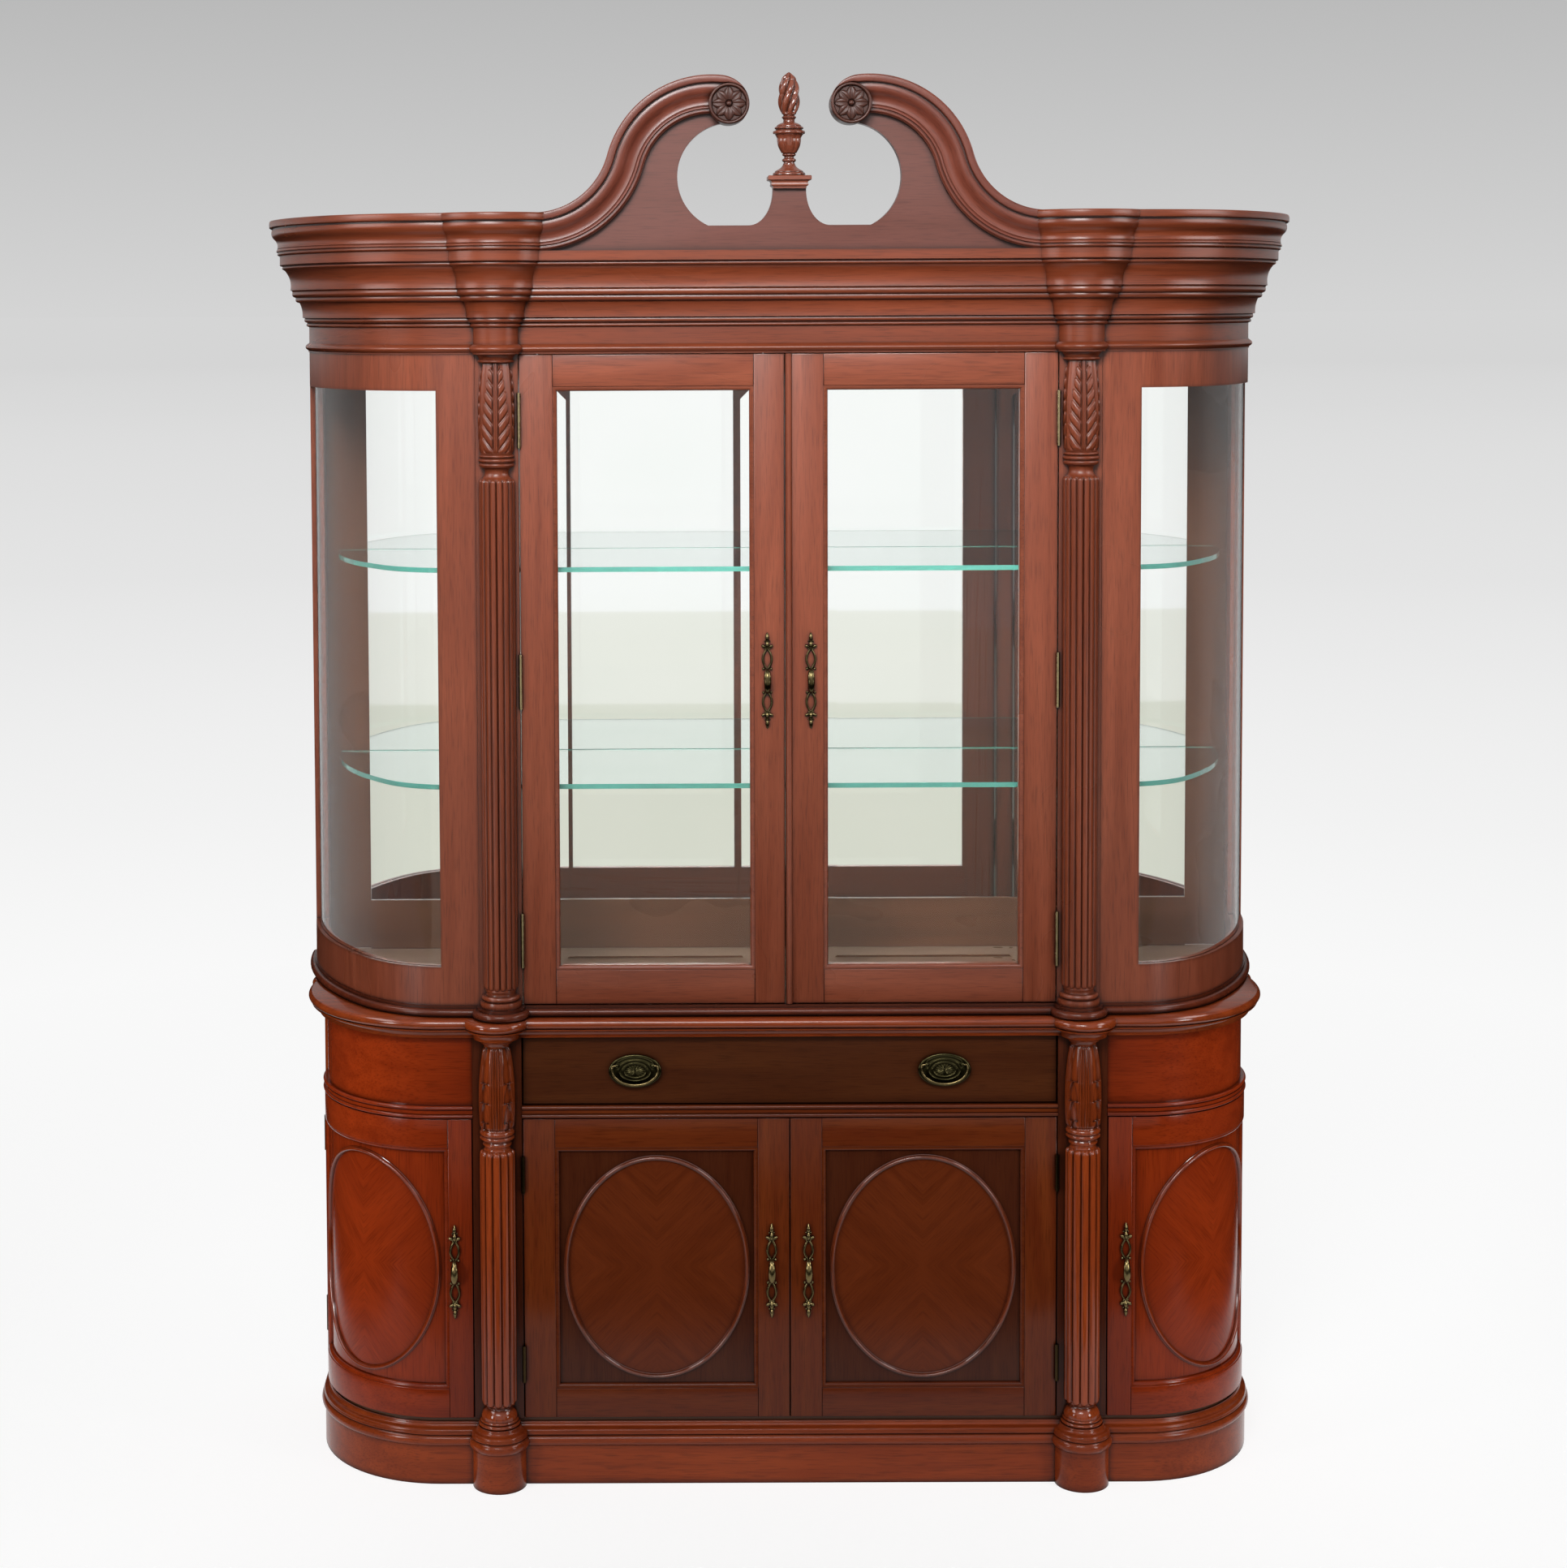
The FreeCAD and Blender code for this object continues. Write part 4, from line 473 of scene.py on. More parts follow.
# Base columns
# Two engaged columns turned in mahogany, reeded up the shaft and carved above with a leaf vase, glued to the front
# posts. Each stands on the drum of the plinth and ends under a lobe of the top.
COLUMN_TURN = math.radians(102)
COLUMN_STEPS = 168
COLUMN_REAR = COLUMN_Y + 0.012


def turning(*stops):
    """Outline of a turning from (height, radius, bow, steps) stops in mm, each bow on the run to the next stop."""
    line = []
    for (low, near, bow, steps), (high, far, *_) in zip(stops, stops[1:]):
        for share in spread(0, 1, steps)[:-1]:
            line.append((low + (high - low) * share, near + (far - near) * share + 4 * bow * share * (1 - share)))
    return line + [stops[-1][:2]]


def reed(height, angle, radius, foot, head, count, deep, shift):
    """Radius on a reeded shaft: broad round reeds with narrow quirks between them, each ending in a dome."""
    half = math.pi * radius / count
    across = (angle * count / (2 * math.pi) + shift) % 1 * 2 - 1
    past = max(foot + half - height, height - head + half, 0) / half
    return radius - deep * min(math.hypot(across, past), 1) ** 3.6


def ramp(value, width):
    """Rises from 0 to 1 over a width, and stays there."""
    return min(max(value / width, 0), 1)


def fluted_leaf(up, angle):
    """Depth in mm of four tall leaves round a vase: flutes down the middle, lobes that reach up and out, deep gaps."""
    across = abs((angle * 2 / math.pi + 0.5) % 1 * 2 - 1)
    lobe = (up - 0.10) / 0.235 % 1 if up < 0.57 else 0.35 * (up - 0.57) / 0.43
    inside = ramp(0.64 + 0.34 * lobe ** 2 - across, 0.06)
    flutes = 0.8 * math.cos(2 * math.pi * across / 0.20) * ramp(0.52 - across, 0.06)
    curl = 0.8 * max(lobe - 0.6, 0) * min(across / 0.5, 1)
    ends = min(up / 0.04, (1 - up) / 0.05, 1)
    return (inside * (3.9 + flutes + curl)) * ends ** 0.5 - 4.0 * min(ends * 3, 1)


def column_pair(axis_x, outline, reeds, leaves, relief):
    """Two turned columns that stand half out of their posts, reeded and carved between the given heights."""
    parts = []
    for axis in (-axis_x, axis_x):
        loops = []
        for height, radius in outline:
            ring = []
            for share in spread(-1, 1, COLUMN_STEPS):
                angle, reach = COLUMN_TURN * share, radius
                if reeds[0] <= height <= reeds[1]:
                    reach = reed(height, angle, radius, *reeds)
                elif leaves[0] < height < leaves[1]:
                    reach += relief((height - leaves[0]) / (leaves[1] - leaves[0]), angle)
                reach /= 1000
                ring.append((axis + reach * math.sin(angle), COLUMN_Y - reach * math.cos(angle), height / 1000))
            loops.append(ring + [(axis, COLUMN_REAR, height / 1000)])
        parts.append(capped(loops) + ("z",))
    return joined(parts)[:2]


base_outline = turning(
    (100, 32, 0, 1), (100.5, 32.5, 1.6, 6), (106, 32, 0, 1), (106.5, 30, 1.4, 6), (111, 30, 0, 1), (111.5, 29, 2.6, 12),
    (129, 21, -0.4, 4), (132, 21.5, 0, 1), (133, 26, 0, 1), (134, 28.5, 0, 18), (150, 28.5, 0, 4), (534, 28.5, 0, 22),
    (552, 28, 0, 1), (553, 22, -1.0, 4), (559, 22, 1.6, 6), (566, 22, -0.6, 4), (569, 23, 0, 1), (570, 26.5, 1.8, 6),
    (576, 26.5, 0, 1), (576.5, 26, 2.2, 8), (585, 26, 0, 1), (586, 26, 1.0, 50), (636, 28.5, 2.0, 80),
    (722, 20.5, -0.4, 4), (726, 22, 0, 1), (727, 25, -1.0, 6), (735, 33, 0, 1))
# reeds: foot, head, number in the round, depth, share of a reed turned
BASE_REEDS = (134, 552, 12, 4.0, 0.5)
BASE_LEAVES = (586, 722)
# the vase and capital at the head of each column are painted darker than the shaft: painted shade in the carving
column_mahogany = lacquered_mahogany("mahogany_turned_red", "#98411A", "#803314", "#1C0904", 0.13, 0.34,
                                     shaded=("Z", 0.60, 0.55, 0.22))
columns = column_pair(BASE_COLUMN_X, base_outline, BASE_REEDS, BASE_LEAVES, fluted_leaf)
piece("reeded_columns", columns, column_mahogany, "case", "base_wood", ["base_columns"], lie="z")

# Top of the base
# A mahogany top with a round edge over a hollow, lobed out over the columns and the rear posts, screwed down from
# inside the case.
TOP_LOBE = 0.030
REAR_LOBE = (0.752, 0.1125, 0.022)
top_mahogany = lacquered_mahogany("mahogany_red_polished", "#8A3A17", "#722D11", "#220C05", 0.14, 0.34)
top_section = moulding_line(
    (7.5, 735, 0), (7.5, 736.5, -2.8), (17.5, 748, 0), (19.8, 748.3, 0), (19.8, 750.6, 0), (18.2, 751, 0),
    (18.2, 752.2, 0), (20.8, 752.5, 3.9), (21.4, 766.8, 0), (19.5, 768, 0))
loops = [[(x, y, high) for x, y in plan_line(out, TOP_LOBE, REAR_LOBE)] for out, high in top_section]
piece("base_top", capped(loops), top_mahogany, "case", "base_wood", ["countertop"], crease=40)

# Drawer
# One wide drawer: a veneered front on a plain box that slides on wooden runners. Two stamped brass plates with
# posts are screwed through the front, and a cast bail swings on each.
drawer_mahogany = lacquered_mahogany("mahogany_brown_veneer", "#47230F", "#3C1B0B", "#180A04", 0.20, 0.15, 0.25)
dress("drawer_face", "drawer_front", drawer_mahogany, "base_wood", body="drawer", ease=0.0012)
dress("drawer_sides", "drawer_box", inside_board, "inside_wood", body="drawer", ease=0.0006)


def aged_brass(name, bright, dark):
    """Lacquered cast brass that has toned brown in its hollows: warm sharp lights over a soft cloudy shine."""
    finish, tree, skin = new_finish(name)
    spot = add(tree, "ShaderNodeTexCoord").outputs["Object"]
    # toned patches about 9 mm across, cast grain about 1 mm
    toned = add(tree, "ShaderNodeTexNoise", {"Vector": spot, "Scale": 1 / 0.009, "Detail": 3.0}).outputs["Fac"]
    grit = add(tree, "ShaderNodeTexNoise", {"Vector": spot, "Scale": 1 / 0.001, "Detail": 2.0}).outputs["Fac"]
    openness = add(tree, "ShaderNodeAmbientOcclusion", {"Distance": 0.006}, samples=6).outputs["AO"]
    worn = add(tree, "ShaderNodeMapRange", {"Value": openness, "From Min": 0.35, "From Max": 0.95}).outputs[0]
    patch = add(tree, "ShaderNodeMapRange", {"Value": toned, "From Min": 0.35, "From Max": 0.6,
                                             "To Min": 0.72}).outputs[0]
    worn = add(tree, "ShaderNodeMath", {0: worn, 1: patch}, operation="MULTIPLY").outputs[0]
    colour = add(tree, "ShaderNodeMix", {0: worn, 6: linear(dark), 7: linear(bright)}, data_type="RGBA").outputs[2]
    dull = add(tree, "ShaderNodeMapRange", {"Value": toned, "To Min": 0.16, "To Max": 0.32}).outputs[0]
    relief = add(tree, "ShaderNodeBump", {"Height": grit, "Strength": 0.12, "Distance": 0.0002}).outputs[0]
    feed(tree, skin, {"Base Color": colour, "Roughness": dull, "Normal": relief, "Metallic": 1.0})
    return finish


brass = aged_brass("aged_cast_brass", "#6E6040", "#1C160C")
PLATE, PLATE_HALF, PLATE_STEPS = (0.249, 0.678), (0.0425, 0.027), 96
BAIL_PIVOT, POST_OUT = (-0.154, 0.687), 0.029


def circle(count):
    """Angles in even steps round a full turn."""
    return spread(0, 2 * math.pi, count)[:-1]


def tube(line, radii, sides=12, flat=1.0):
    """A closed round bar along a line of points, with its own radius at each point."""
    loops = []
    for index, spot in enumerate(line):
        before, after = line[max(index - 1, 0)], line[min(index + 1, len(line) - 1)]
        along = (Vector(after) - Vector(before)).normalized()
        side = along.cross(Vector((0, 1, 0)))
        side = side.normalized() if side.length > 1e-6 else Vector((1, 0, 0))
        lift = along.cross(side).normalized()
        loops.append([tuple(Vector(spot) + radii[index] * (side * math.cos(turn) + flat * lift * math.sin(turn)))
                      for turn in circle(sides)])
    return capped(loops)


def stamped_plate(x):
    """An oval plate pressed with a round rim, two inner ovals and a sunburst, with the two posts of the bail."""
    rise = [(1.0, 0.0), (1.0, 1.0), (0.985, 1.9), (0.95, 2.5), (0.91, 2.6), (0.87, 2.1), (0.83, 1.1), (0.79, 0.9)]
    for edge in (0.68, 0.50):
        rise += [(edge - inwards, out) for inwards, out in (
            (0.0, 1.0), (0.02, 1.3), (0.035, 2.2), (0.06, 2.3), (0.075, 1.4), (0.10, 1.0))]
    rise += [(0.33, 1.0), (0.28, 1.2), (0.2, 1.3), (0.12, 1.4), (0.03, 1.5)]
    loops = []
    for scale, out in rise:
        ring = []
        for turn in circle(PLATE_STEPS):
            ray = 0.35 * math.cos(16 * turn) if 0.05 < scale < 0.3 else 0.0
            ring.append((x + scale * PLATE_HALF[0] * math.cos(turn), FACE_Y - (out + ray) / 1000,
                         PLATE[1] + scale * PLATE_HALF[1] * math.sin(turn)))
        loops.append(ring)
    parts = [capped(loops) + ("x",)]
    post = ((0.5, 4.6), (1.5, 4.6), (1.8, 3.3), (3.5, 3.3), (4.8, 3.1), (5.6, 2.2), (6.0, 0.6))
    for side in (-1, 1):
        parts.append(tube([(x + side * POST_OUT, FACE_Y - out / 1000, BAIL_PIVOT[1]) for out, _ in post],
                          [radius / 1000 for _, radius in post], 20) + ("x",))
    return joined(parts)


def swinging_bail(x):
    """A cast bail that hooks into its posts and follows the lower rim of the plate, thicker in the middle."""
    hook = [(POST_OUT - 0.001, 0.0), (POST_OUT + 0.004, 0.0004), (POST_OUT + 0.0072, -0.0008)]
    line = [(-across, up) for across, up in hook]
    line += [(-0.0375 * math.cos(turn), -0.0040 - 0.0275 * math.sin(turn) ** 0.9)
             for turn in map(math.radians, range(4, 177, 8))]
    line += hook[::-1]
    last = len(line) - 1
    return tube([(x + across, BAIL_PIVOT[0], BAIL_PIVOT[1] + up) for across, up in line],
                [0.0017 + 0.0007 * math.sin(math.pi * index / last) for index in range(last + 1)])


plate_brass = aged_brass("dark_pressed_brass", "#3E3923", "#100E08")
plates = joined([stamped_plate(sign * PLATE[0]) for sign in (-1, 1)])
piece("plate_and_posts", plates, plate_brass, "drawer", "antique_brass", ["drawer_plates"], crease=50)
for side, sign in (("left", -1), ("right", 1)):
    piece(f"bail_of_{side}_plate", swinging_bail(sign * PLATE[0]), brass, f"drawer_bail_{side}", "antique_brass",
          [f"bail_{side}"], crease=60)

# Centre doors of the base
# Each door is a mortised mahogany frame with a rounded inner edge. A flat panel of veneer matched in four quarters
# fills it, with a bent bead of solid wood planted on as an oval. A cast brass pull is pinned to the meeting stile.
dark_brass = aged_brass("dull_hinge_brass", "#3A2E1C", "#140F08")
bead_mahogany = lacquered_mahogany("mahogany_polished_bead", "#6E3018", "#5C260F", "#1C0904", 0.12, 0.60, 0.0)
panel_mahogany = lacquered_mahogany("mahogany_crotch_veneer", "#622A11", "#56230D", "#34130A", 0.18, 0.16, 0.0)
corner_mahogany = lacquered_mahogany("mahogany_dark_corners", "#46200F", "#3C180A", "#1C0904", 0.20, 0.16, 0.0)
FRAME_DEPTH = (FACE_Y, -0.129)
FRAME_EASE = 0.0014
LIP, LIP_SUNK = 0.007, 0.0012
PANEL_FRONT, PANEL_THICK, PANEL_GROOVE = -0.142, 0.006, 0.002
PANEL_EASE, VENEER, GLUE_LINE = 0.0003, 0.0009, 0.0001
BEAD_HALF, BEAD_PROUD = 0.0040, 0.006
OVAL_STEPS = 96


def loop(x_span, z_span, inset, depth, place, cuts):
    """A rectangle drawn in by inset at a depth, with its level sides cut up so that they can follow a curve."""
    left, right = x_span[0] + inset, x_span[1] - inset
    low, high = z_span[0] + inset, z_span[1] - inset
    xs = spread(left, right, cuts)
    return [place(x, depth, low) for x in xs] + [place(x, depth, high) for x in reversed(xs)]


def board(x_span, z_span, depth, ease, place, cuts=1):
    """A board between two depths with its front arris rounded over."""
    front, rear = depth
    rounds = [(ease, front), (0.45 * ease, front + 0.15 * ease), (0.15 * ease, front + 0.45 * ease), (0, front + ease)]
    loops = [loop(x_span, z_span, inset, deep, place, cuts) for inset, deep in rounds + [(0, rear)]]
    places, faces = bridge(loops)
    count = len(loops[0])
    for start in (0, (len(loops) - 1) * count):
        faces += [(start + step, start + step + 1, start + count - 2 - step, start + count - 1 - step)
                  for step in range(cuts)]
    return places, faces


def door_frame(x_span, z_span, stiles, rails, place, cuts=(1, 1), lip_deep=0.006):
    """Two stiles, two rails between them and the rounded lip that runs round the opening."""
    left, right = x_span[0] + stiles[0], x_span[1] - stiles[1]
    low, high = z_span[0] + rails[0], z_span[1] - rails[1]
    parts = [board(xs, zs, FRAME_DEPTH, FRAME_EASE, place, cut) + (lie,) for xs, zs, cut, lie in (
        ((x_span[0], left), z_span, cuts[0], "z"), ((right, x_span[1]), z_span, cuts[0], "z"),
        ((left, right), (z_span[0], low), cuts[1], "x"), ((left, right), (high, z_span[1]), cuts[1], "x"))]
    front, rear = FRAME_DEPTH[0] + LIP_SUNK, FRAME_DEPTH[1]
    section = [(0.0, front)]
    section += [(LIP * math.sin(turn), front + lip_deep * (1 - math.cos(turn)))
                for turn in map(math.radians, range(15, 91, 15))]
    section += [(LIP, rear), (0.0, rear)]
    loops = [loop((left, right), (low, high), inset, depth, place, cuts[1]) for inset, depth in section]
    return joined(parts + [bridge(loops, close=True) + ("x",)])


def oval(centre, half, depth, place):
    """Points round an oval at a depth."""
    return [place(centre[0] + half[0] * math.cos(turn), depth, centre[1] + half[1] * math.sin(turn))
            for turn in circle(OVAL_STEPS)]


def oval_bead(centre, half, place):
    """A round bead with a small fillet each side, bent to an oval and planted on the panel."""
    fillet = [(-1, 0.001), (-1, -0.25 * BEAD_PROUD), (-0.75, -0.3 * BEAD_PROUD)]
    section = fillet + [(0.72 * math.sin(turn), -BEAD_PROUD * (0.3 + 0.7 * math.cos(turn)))
                        for turn in map(math.radians, range(-75, 76, 15))]
    section += [(-across, rise) for across, rise in reversed(fillet)]
    return bridge([oval(centre, (half[0] + across * BEAD_HALF, half[1] + across * BEAD_HALF), PANEL_FRONT + rise, place)
                   for across, rise in section], close=True)


def oval_field(centre, half, place):
    """The veneer inside the oval in four matched quarters, with the slant of the grain mirrored at each joint."""
    scales = [0.02] + spread(0, 1, 9)[1:]
    rounds = [(scale, PANEL_FRONT + VENEER) for scale in scales] + [(scale, PANEL_FRONT) for scale in reversed(scales)]
    loops, runs = [], []
    # the grain slants at 45 degrees, and each door's veneer comes from a place of its own in the leaf
    for scale, depth in rounds:
        loops.append(oval(centre, (half[0] * scale, half[1] * scale), depth, place))
        for turn in circle(OVAL_STEPS):
            side, rise = abs(half[0] * scale * math.cos(turn)), abs(half[1] * scale * math.sin(turn))
            runs.append(((side + rise) * 0.7071 + 3 * centre[0], (rise - side) * 0.7071 + 5 * centre[0], 0.37))
    return *capped(loops), runs


def corner_field(centre, half, x_span, z_span, place):
    """The veneer between the oval and the frame, in narrow steps so that it can follow a curve."""
    wide, high = (x_span[1] - x_span[0]) / 2, (z_span[1] - z_span[0]) / 2
    corner, square = math.atan2(high, wide), math.pi / 2
    stops = [square * quarter + offset for quarter in range(4)
             for offset in (0, square - corner if quarter % 2 else corner)] + [4 * square]
    turns = [turn for start, stop in zip(stops, stops[1:]) for turn in spread(start, stop, 12)[:-1]]
    inner, outer = [], []
    for turn in turns:
        across, up = math.cos(turn), math.sin(turn)
        reach = min(wide / max(abs(across), 1e-9), high / max(abs(up), 1e-9))
        ring = 1 / math.hypot(across / half[0], up / half[1])
        inner.append((centre[0] + ring * across, centre[1] + ring * up))
        outer.append((centre[0] + reach * across, centre[1] + reach * up))
    shares = spread(0, 1, 6)
    rounds = [(share, PANEL_FRONT) for share in shares] + [(share, PANEL_FRONT + VENEER) for share in reversed(shares)]
    return bridge([[place(near[0] + (far[0] - near[0]) * share, depth, near[1] + (far[1] - near[1]) * share)
                    for near, far in zip(inner, outer)] for share, depth in rounds], close=True)


def brass_pull(x, mid):
    """An upright pull: an egg-shaped bow between two pierced loops, each ending in a bud over two curled leaves."""
    parts = []

    def bar(line, radii, flat=1.0):
        places = [(x + across, FACE_Y - out, mid + up) for across, out, up in line]
        parts.append(tube(places, radii, 12, flat) + ("z",))

    def ball(across, up, radius):
        turns = [math.radians(turn) for turn in range(-90, 91, 15)]
        bar([(across, radius, up + radius * math.sin(turn)) for turn in turns],
            [0.0002 + radius * math.cos(turn) for turn in turns])

    arch = [math.radians(turn) for turn in range(-90, 91, 9)]
    bar([(0, 0.003 + 0.0105 * math.cos(turn) ** 0.8, 0.0185 * math.sin(turn)) for turn in arch],
        [0.0020 + 0.0040 * math.cos(turn) ** 0.9 for turn in arch], 0.85)
    for way in (-1, 1):
        ball(-0.0060, way * 0.0190, 0.0021)
        ball(0.0060, way * 0.0190, 0.0021)
        for side in (-1, 1):
            loop_line = [(side * (0.0012 + 0.0058 * math.sin(math.pi * share) ** 0.9), 0.0022,
                          way * (0.0190 + 0.0305 * share)) for share in spread(0, 1, 14)]
            bar(loop_line, [0.0014 + 0.0004 * math.sin(math.pi * step / 14) for step in range(15)])
            ball(side * 0.0030, way * 0.0505, 0.0016)
            leaf = spread(0, 1, 10)
            bar([(side * (0.0005 + 0.0076 * math.sin(1.9 * share)), 0.0022 + 0.0010 * math.sin(math.pi * share),
                  way * (0.0520 + 0.0080 * share - 0.0055 * share ** 3)) for share in leaf],
                [0.0004 + 0.0022 * math.sin(math.pi * (0.10 + 0.88 * share)) for share in leaf])
            ball(side * 0.0036, way * 0.0628, 0.0013)
        bud = spread(0, 1, 14)
        bar([(0, 0.0022 + 0.0008 * math.sin(math.pi * share), way * (0.0490 + 0.0160 * share)) for share in bud],
            [0.0005 + 0.0030 * math.sin(math.pi * share) for share in bud])
        bar([(0, 0.0022 + 0.0008 * math.sin(math.pi * share), way * (0.0620 + 0.0155 * share)) for share in bud],
            [0.0004 + 0.0029 * math.sin(math.pi * share ** 0.75) for share in bud])
    return joined(parts)


BASE_DOOR_Z = (0.1075, 0.5995)
BASE_DOOR_X = (0.00075, 0.430)
BASE_STILE, BASE_RAIL = 0.051, 0.048
BASE_PULL = (0.02975, 0.3495)
OVAL_HALF = (0.1465, 0.180)
base_centre_z = sum(BASE_DOOR_Z) / 2
panel_z = (BASE_DOOR_Z[0] + BASE_RAIL + LIP, BASE_DOOR_Z[1] - BASE_RAIL - LIP)


def door_with_oval(kind, side, x_span, stile, half, place, cuts, woods):
    """Frame, lip, corners, oval field and bead of one base door, each as its own piece on the door."""
    body = f"{kind}_{side}"
    frame_wood, field_wood, corner_wood, bead_wood = woods
    panel_x = (x_span[0] + stile + LIP, x_span[1] - stile - LIP)
    centre = (sum(panel_x) / 2, base_centre_z)
    members = door_frame(x_span, BASE_DOOR_Z, (stile, stile), (BASE_RAIL, BASE_RAIL), place, cuts)
    piece(f"{body}_frame", members, frame_wood, body, "base_wood", [f"{kind}_frame_{side}"])
    piece(f"{body}_oval_veneer", oval_field(centre, half, place), field_wood, body, "base_wood")
    grooved = [(span[0] - PANEL_GROOVE, span[1] + PANEL_GROOVE) for span in (panel_x, panel_z)]
    rear = (PANEL_FRONT + VENEER + GLUE_LINE, PANEL_FRONT + PANEL_THICK)
    layers = [corner_field(centre, half, *grooved, place) + ("z",),
              board(*grooved, rear, PANEL_EASE, place, max(cuts)) + ("z",)]
    piece(f"{body}_panel", joined(layers)[:2], corner_wood, body, "base_wood", [f"{kind}_panel_{side}"], lie="z")
    piece(f"{body}_oval_bead", oval_bead(centre, half, place), bead_wood, body, "base_wood", lie="z")


def door_brass(kind, side, pull, pull_finish, hinge_finish, hinges_beyond):
    """The pull of one door and the door's halves of its hinges, which lie beyond a distance from the middle."""
    body = f"{kind}_{side}"
    piece(f"{body}_pull", brass_pull(*pull), pull_finish, body, "antique_brass")
    dress(f"{body}_hinges", f"{kind}_hardware_{side}", hinge_finish, "antique_brass", body,
          keep=lambda spot: abs(spot.x) > hinges_beyond)


for side, sign in (("left", -1), ("right", 1)):
    door_with_oval("base_door", side, BASE_DOOR_X, BASE_STILE, OVAL_HALF, flat_place(sign), (1, 1),
                   (door_mahogany_with_painted_shade, panel_mahogany, corner_mahogany, bead_mahogany))
    door_brass("base_door", side, (sign * BASE_PULL[0], BASE_PULL[1]), brass, dark_brass, hinges_beyond=0.2)

# Curved end doors of the base
# The same door bent round the end: frame, panel and oval glued up over a former and veneered, hung on the rear post.
# The pull is on the front stile, where the door is still flat.
END_DOOR_X = (0.513, ARC_X + ARC_RADIUS * math.radians(96.02))
END_STILE = 0.039
END_OVAL_HALF = (0.1425, 0.180)
END_PULL_X = 0.542
end_bead = lacquered_mahogany("mahogany_red_polished_bead", "#84300F", "#6E260C", "#240A04", 0.12, 0.55, 0.0)
for side, sign in (("left", -1), ("right", 1)):
    door_with_oval("end_door", side, END_DOOR_X, END_STILE, END_OVAL_HALF, bent_place(sign), (8, 40),
                   (end_mahogany_with_painted_light, end_mahogany_with_painted_light, end_mahogany_with_painted_light, end_bead))
    door_brass("end_door", side, (sign * END_PULL_X, BASE_PULL[1]), brass, dark_brass, hinges_beyond=0.65)

# Hutch case
# The hutch stands on a run moulding that is darker than the rest. Posts, bent glazed end frames, a board under the
# cornice and a plywood back make the box. The hutch is coloured browner and lighter than the base: partly its own
# finish, partly painted light, as the hutch stands higher in the lamp's light.
# the hutch's boards are painted darker towards its foot: painted shade, as the light falls from high in front
hutch_mahogany = lacquered_mahogany("mahogany_brown_lacquer", "#88462F", "#713520", "#2A100A", 0.30, 0.36, 0.55,
                                    shaded=("Z", 0.79, 1.30, 0.26))
# the cornice, crown and hutch columns are coloured darker than the flat boards of the same wood: partly a darker toner,
# partly painted shade on the shaped work
toned_and_shaded_mahogany = lacquered_mahogany("mahogany_toned_lacquer_and_painted_shade", "#7B3A22", "#662D18", "#220E09", 0.30, 0.32, 0.30)
dark_mahogany = lacquered_mahogany("mahogany_dark_lacquer", "#602A18", "#4A1D0F", "#1A0905", 0.26, 0.20)
dress("hutch_foot_moulding", "hutch_moulding", dark_mahogany, "dark_wood")
# the hutch's bottom board is a paler, greyer brown than the other inside boards
floor_board = lacquered_mahogany("mahogany_pale_greyish_floor", "#7A6353", "#6D5646", "#1E0E08", 0.30, 0.25, None, pore=0.1)
dress("hutch_bottom_board", "hutch_floor", floor_board, "inside_wood")
dress("hutch_front_posts", "hutch_posts", hutch_mahogany, "hutch_wood", lie="z", ease=0.001)
dress("bent_end_frames", "end_frames", hutch_mahogany, "hutch_wood", lie="z")
dress("hutch_back_panel", "hutch_back", inside_board, "inside_wood", lie="z", ease=0.0006)
dress("hutch_top_board", "hutch_ceiling", inside_board, "inside_wood")
dress("cornice_top_board", "crown_board", inside_board, "inside_wood")
dress("cornice_back_board", "cornice_back", inside_board, "inside_wood", ease=0.0006)

# Mirror, glass ends and shelves
# A silvered mirror covers the back above a plain sill, bent panes close the ends, and two plate shelves with polished
# green edges lie on brass pins.


def polished_glass(name, tint, ripple, bend, clear=1.0, rough=0.0):
    """Float or plate glass: clear, with a faint drawn ripple about 120 mm long that bends the reflections a little."""
    finish, tree, skin = new_finish(name)
    spot = add(tree, "ShaderNodeTexCoord").outputs["Object"]
    drawn = add(tree, "ShaderNodeTexNoise", {"Vector": spot, "Scale": 1 / 0.12, "Detail": 1.0}).outputs["Fac"]
    wave = add(tree, "ShaderNodeBump", {"Height": drawn, "Strength": ripple, "Distance": 0.001}).outputs[0]
    shade = add(tree, "ShaderNodeMix", {0: drawn, 6: linear(tint[0]), 7: linear(tint[1])}, data_type="RGBA").outputs[2]
    feed(tree, skin, {"Base Color": shade, "Normal": wave, "Transmission Weight": clear, "Roughness": rough,
                      "IOR": bend})
    return finish


def clear_pane(pane):
    """A pane that casts no shadow and takes no bright strip from the low lamps."""
    pane.visible_shadow = False
    unlit_panes.objects.link(pane)
    unlit_panes.collection_objects[-1].light_linking.link_state = "EXCLUDE"


window_glass = polished_glass("float_glass", ("#FFFFFF", "#FDFEFD"), 0.02, 1.36)
shelf_plate = polished_glass("green_plate_glass", ("#E6F1EE", "#DDEBE7"), 0.0, 1.5)

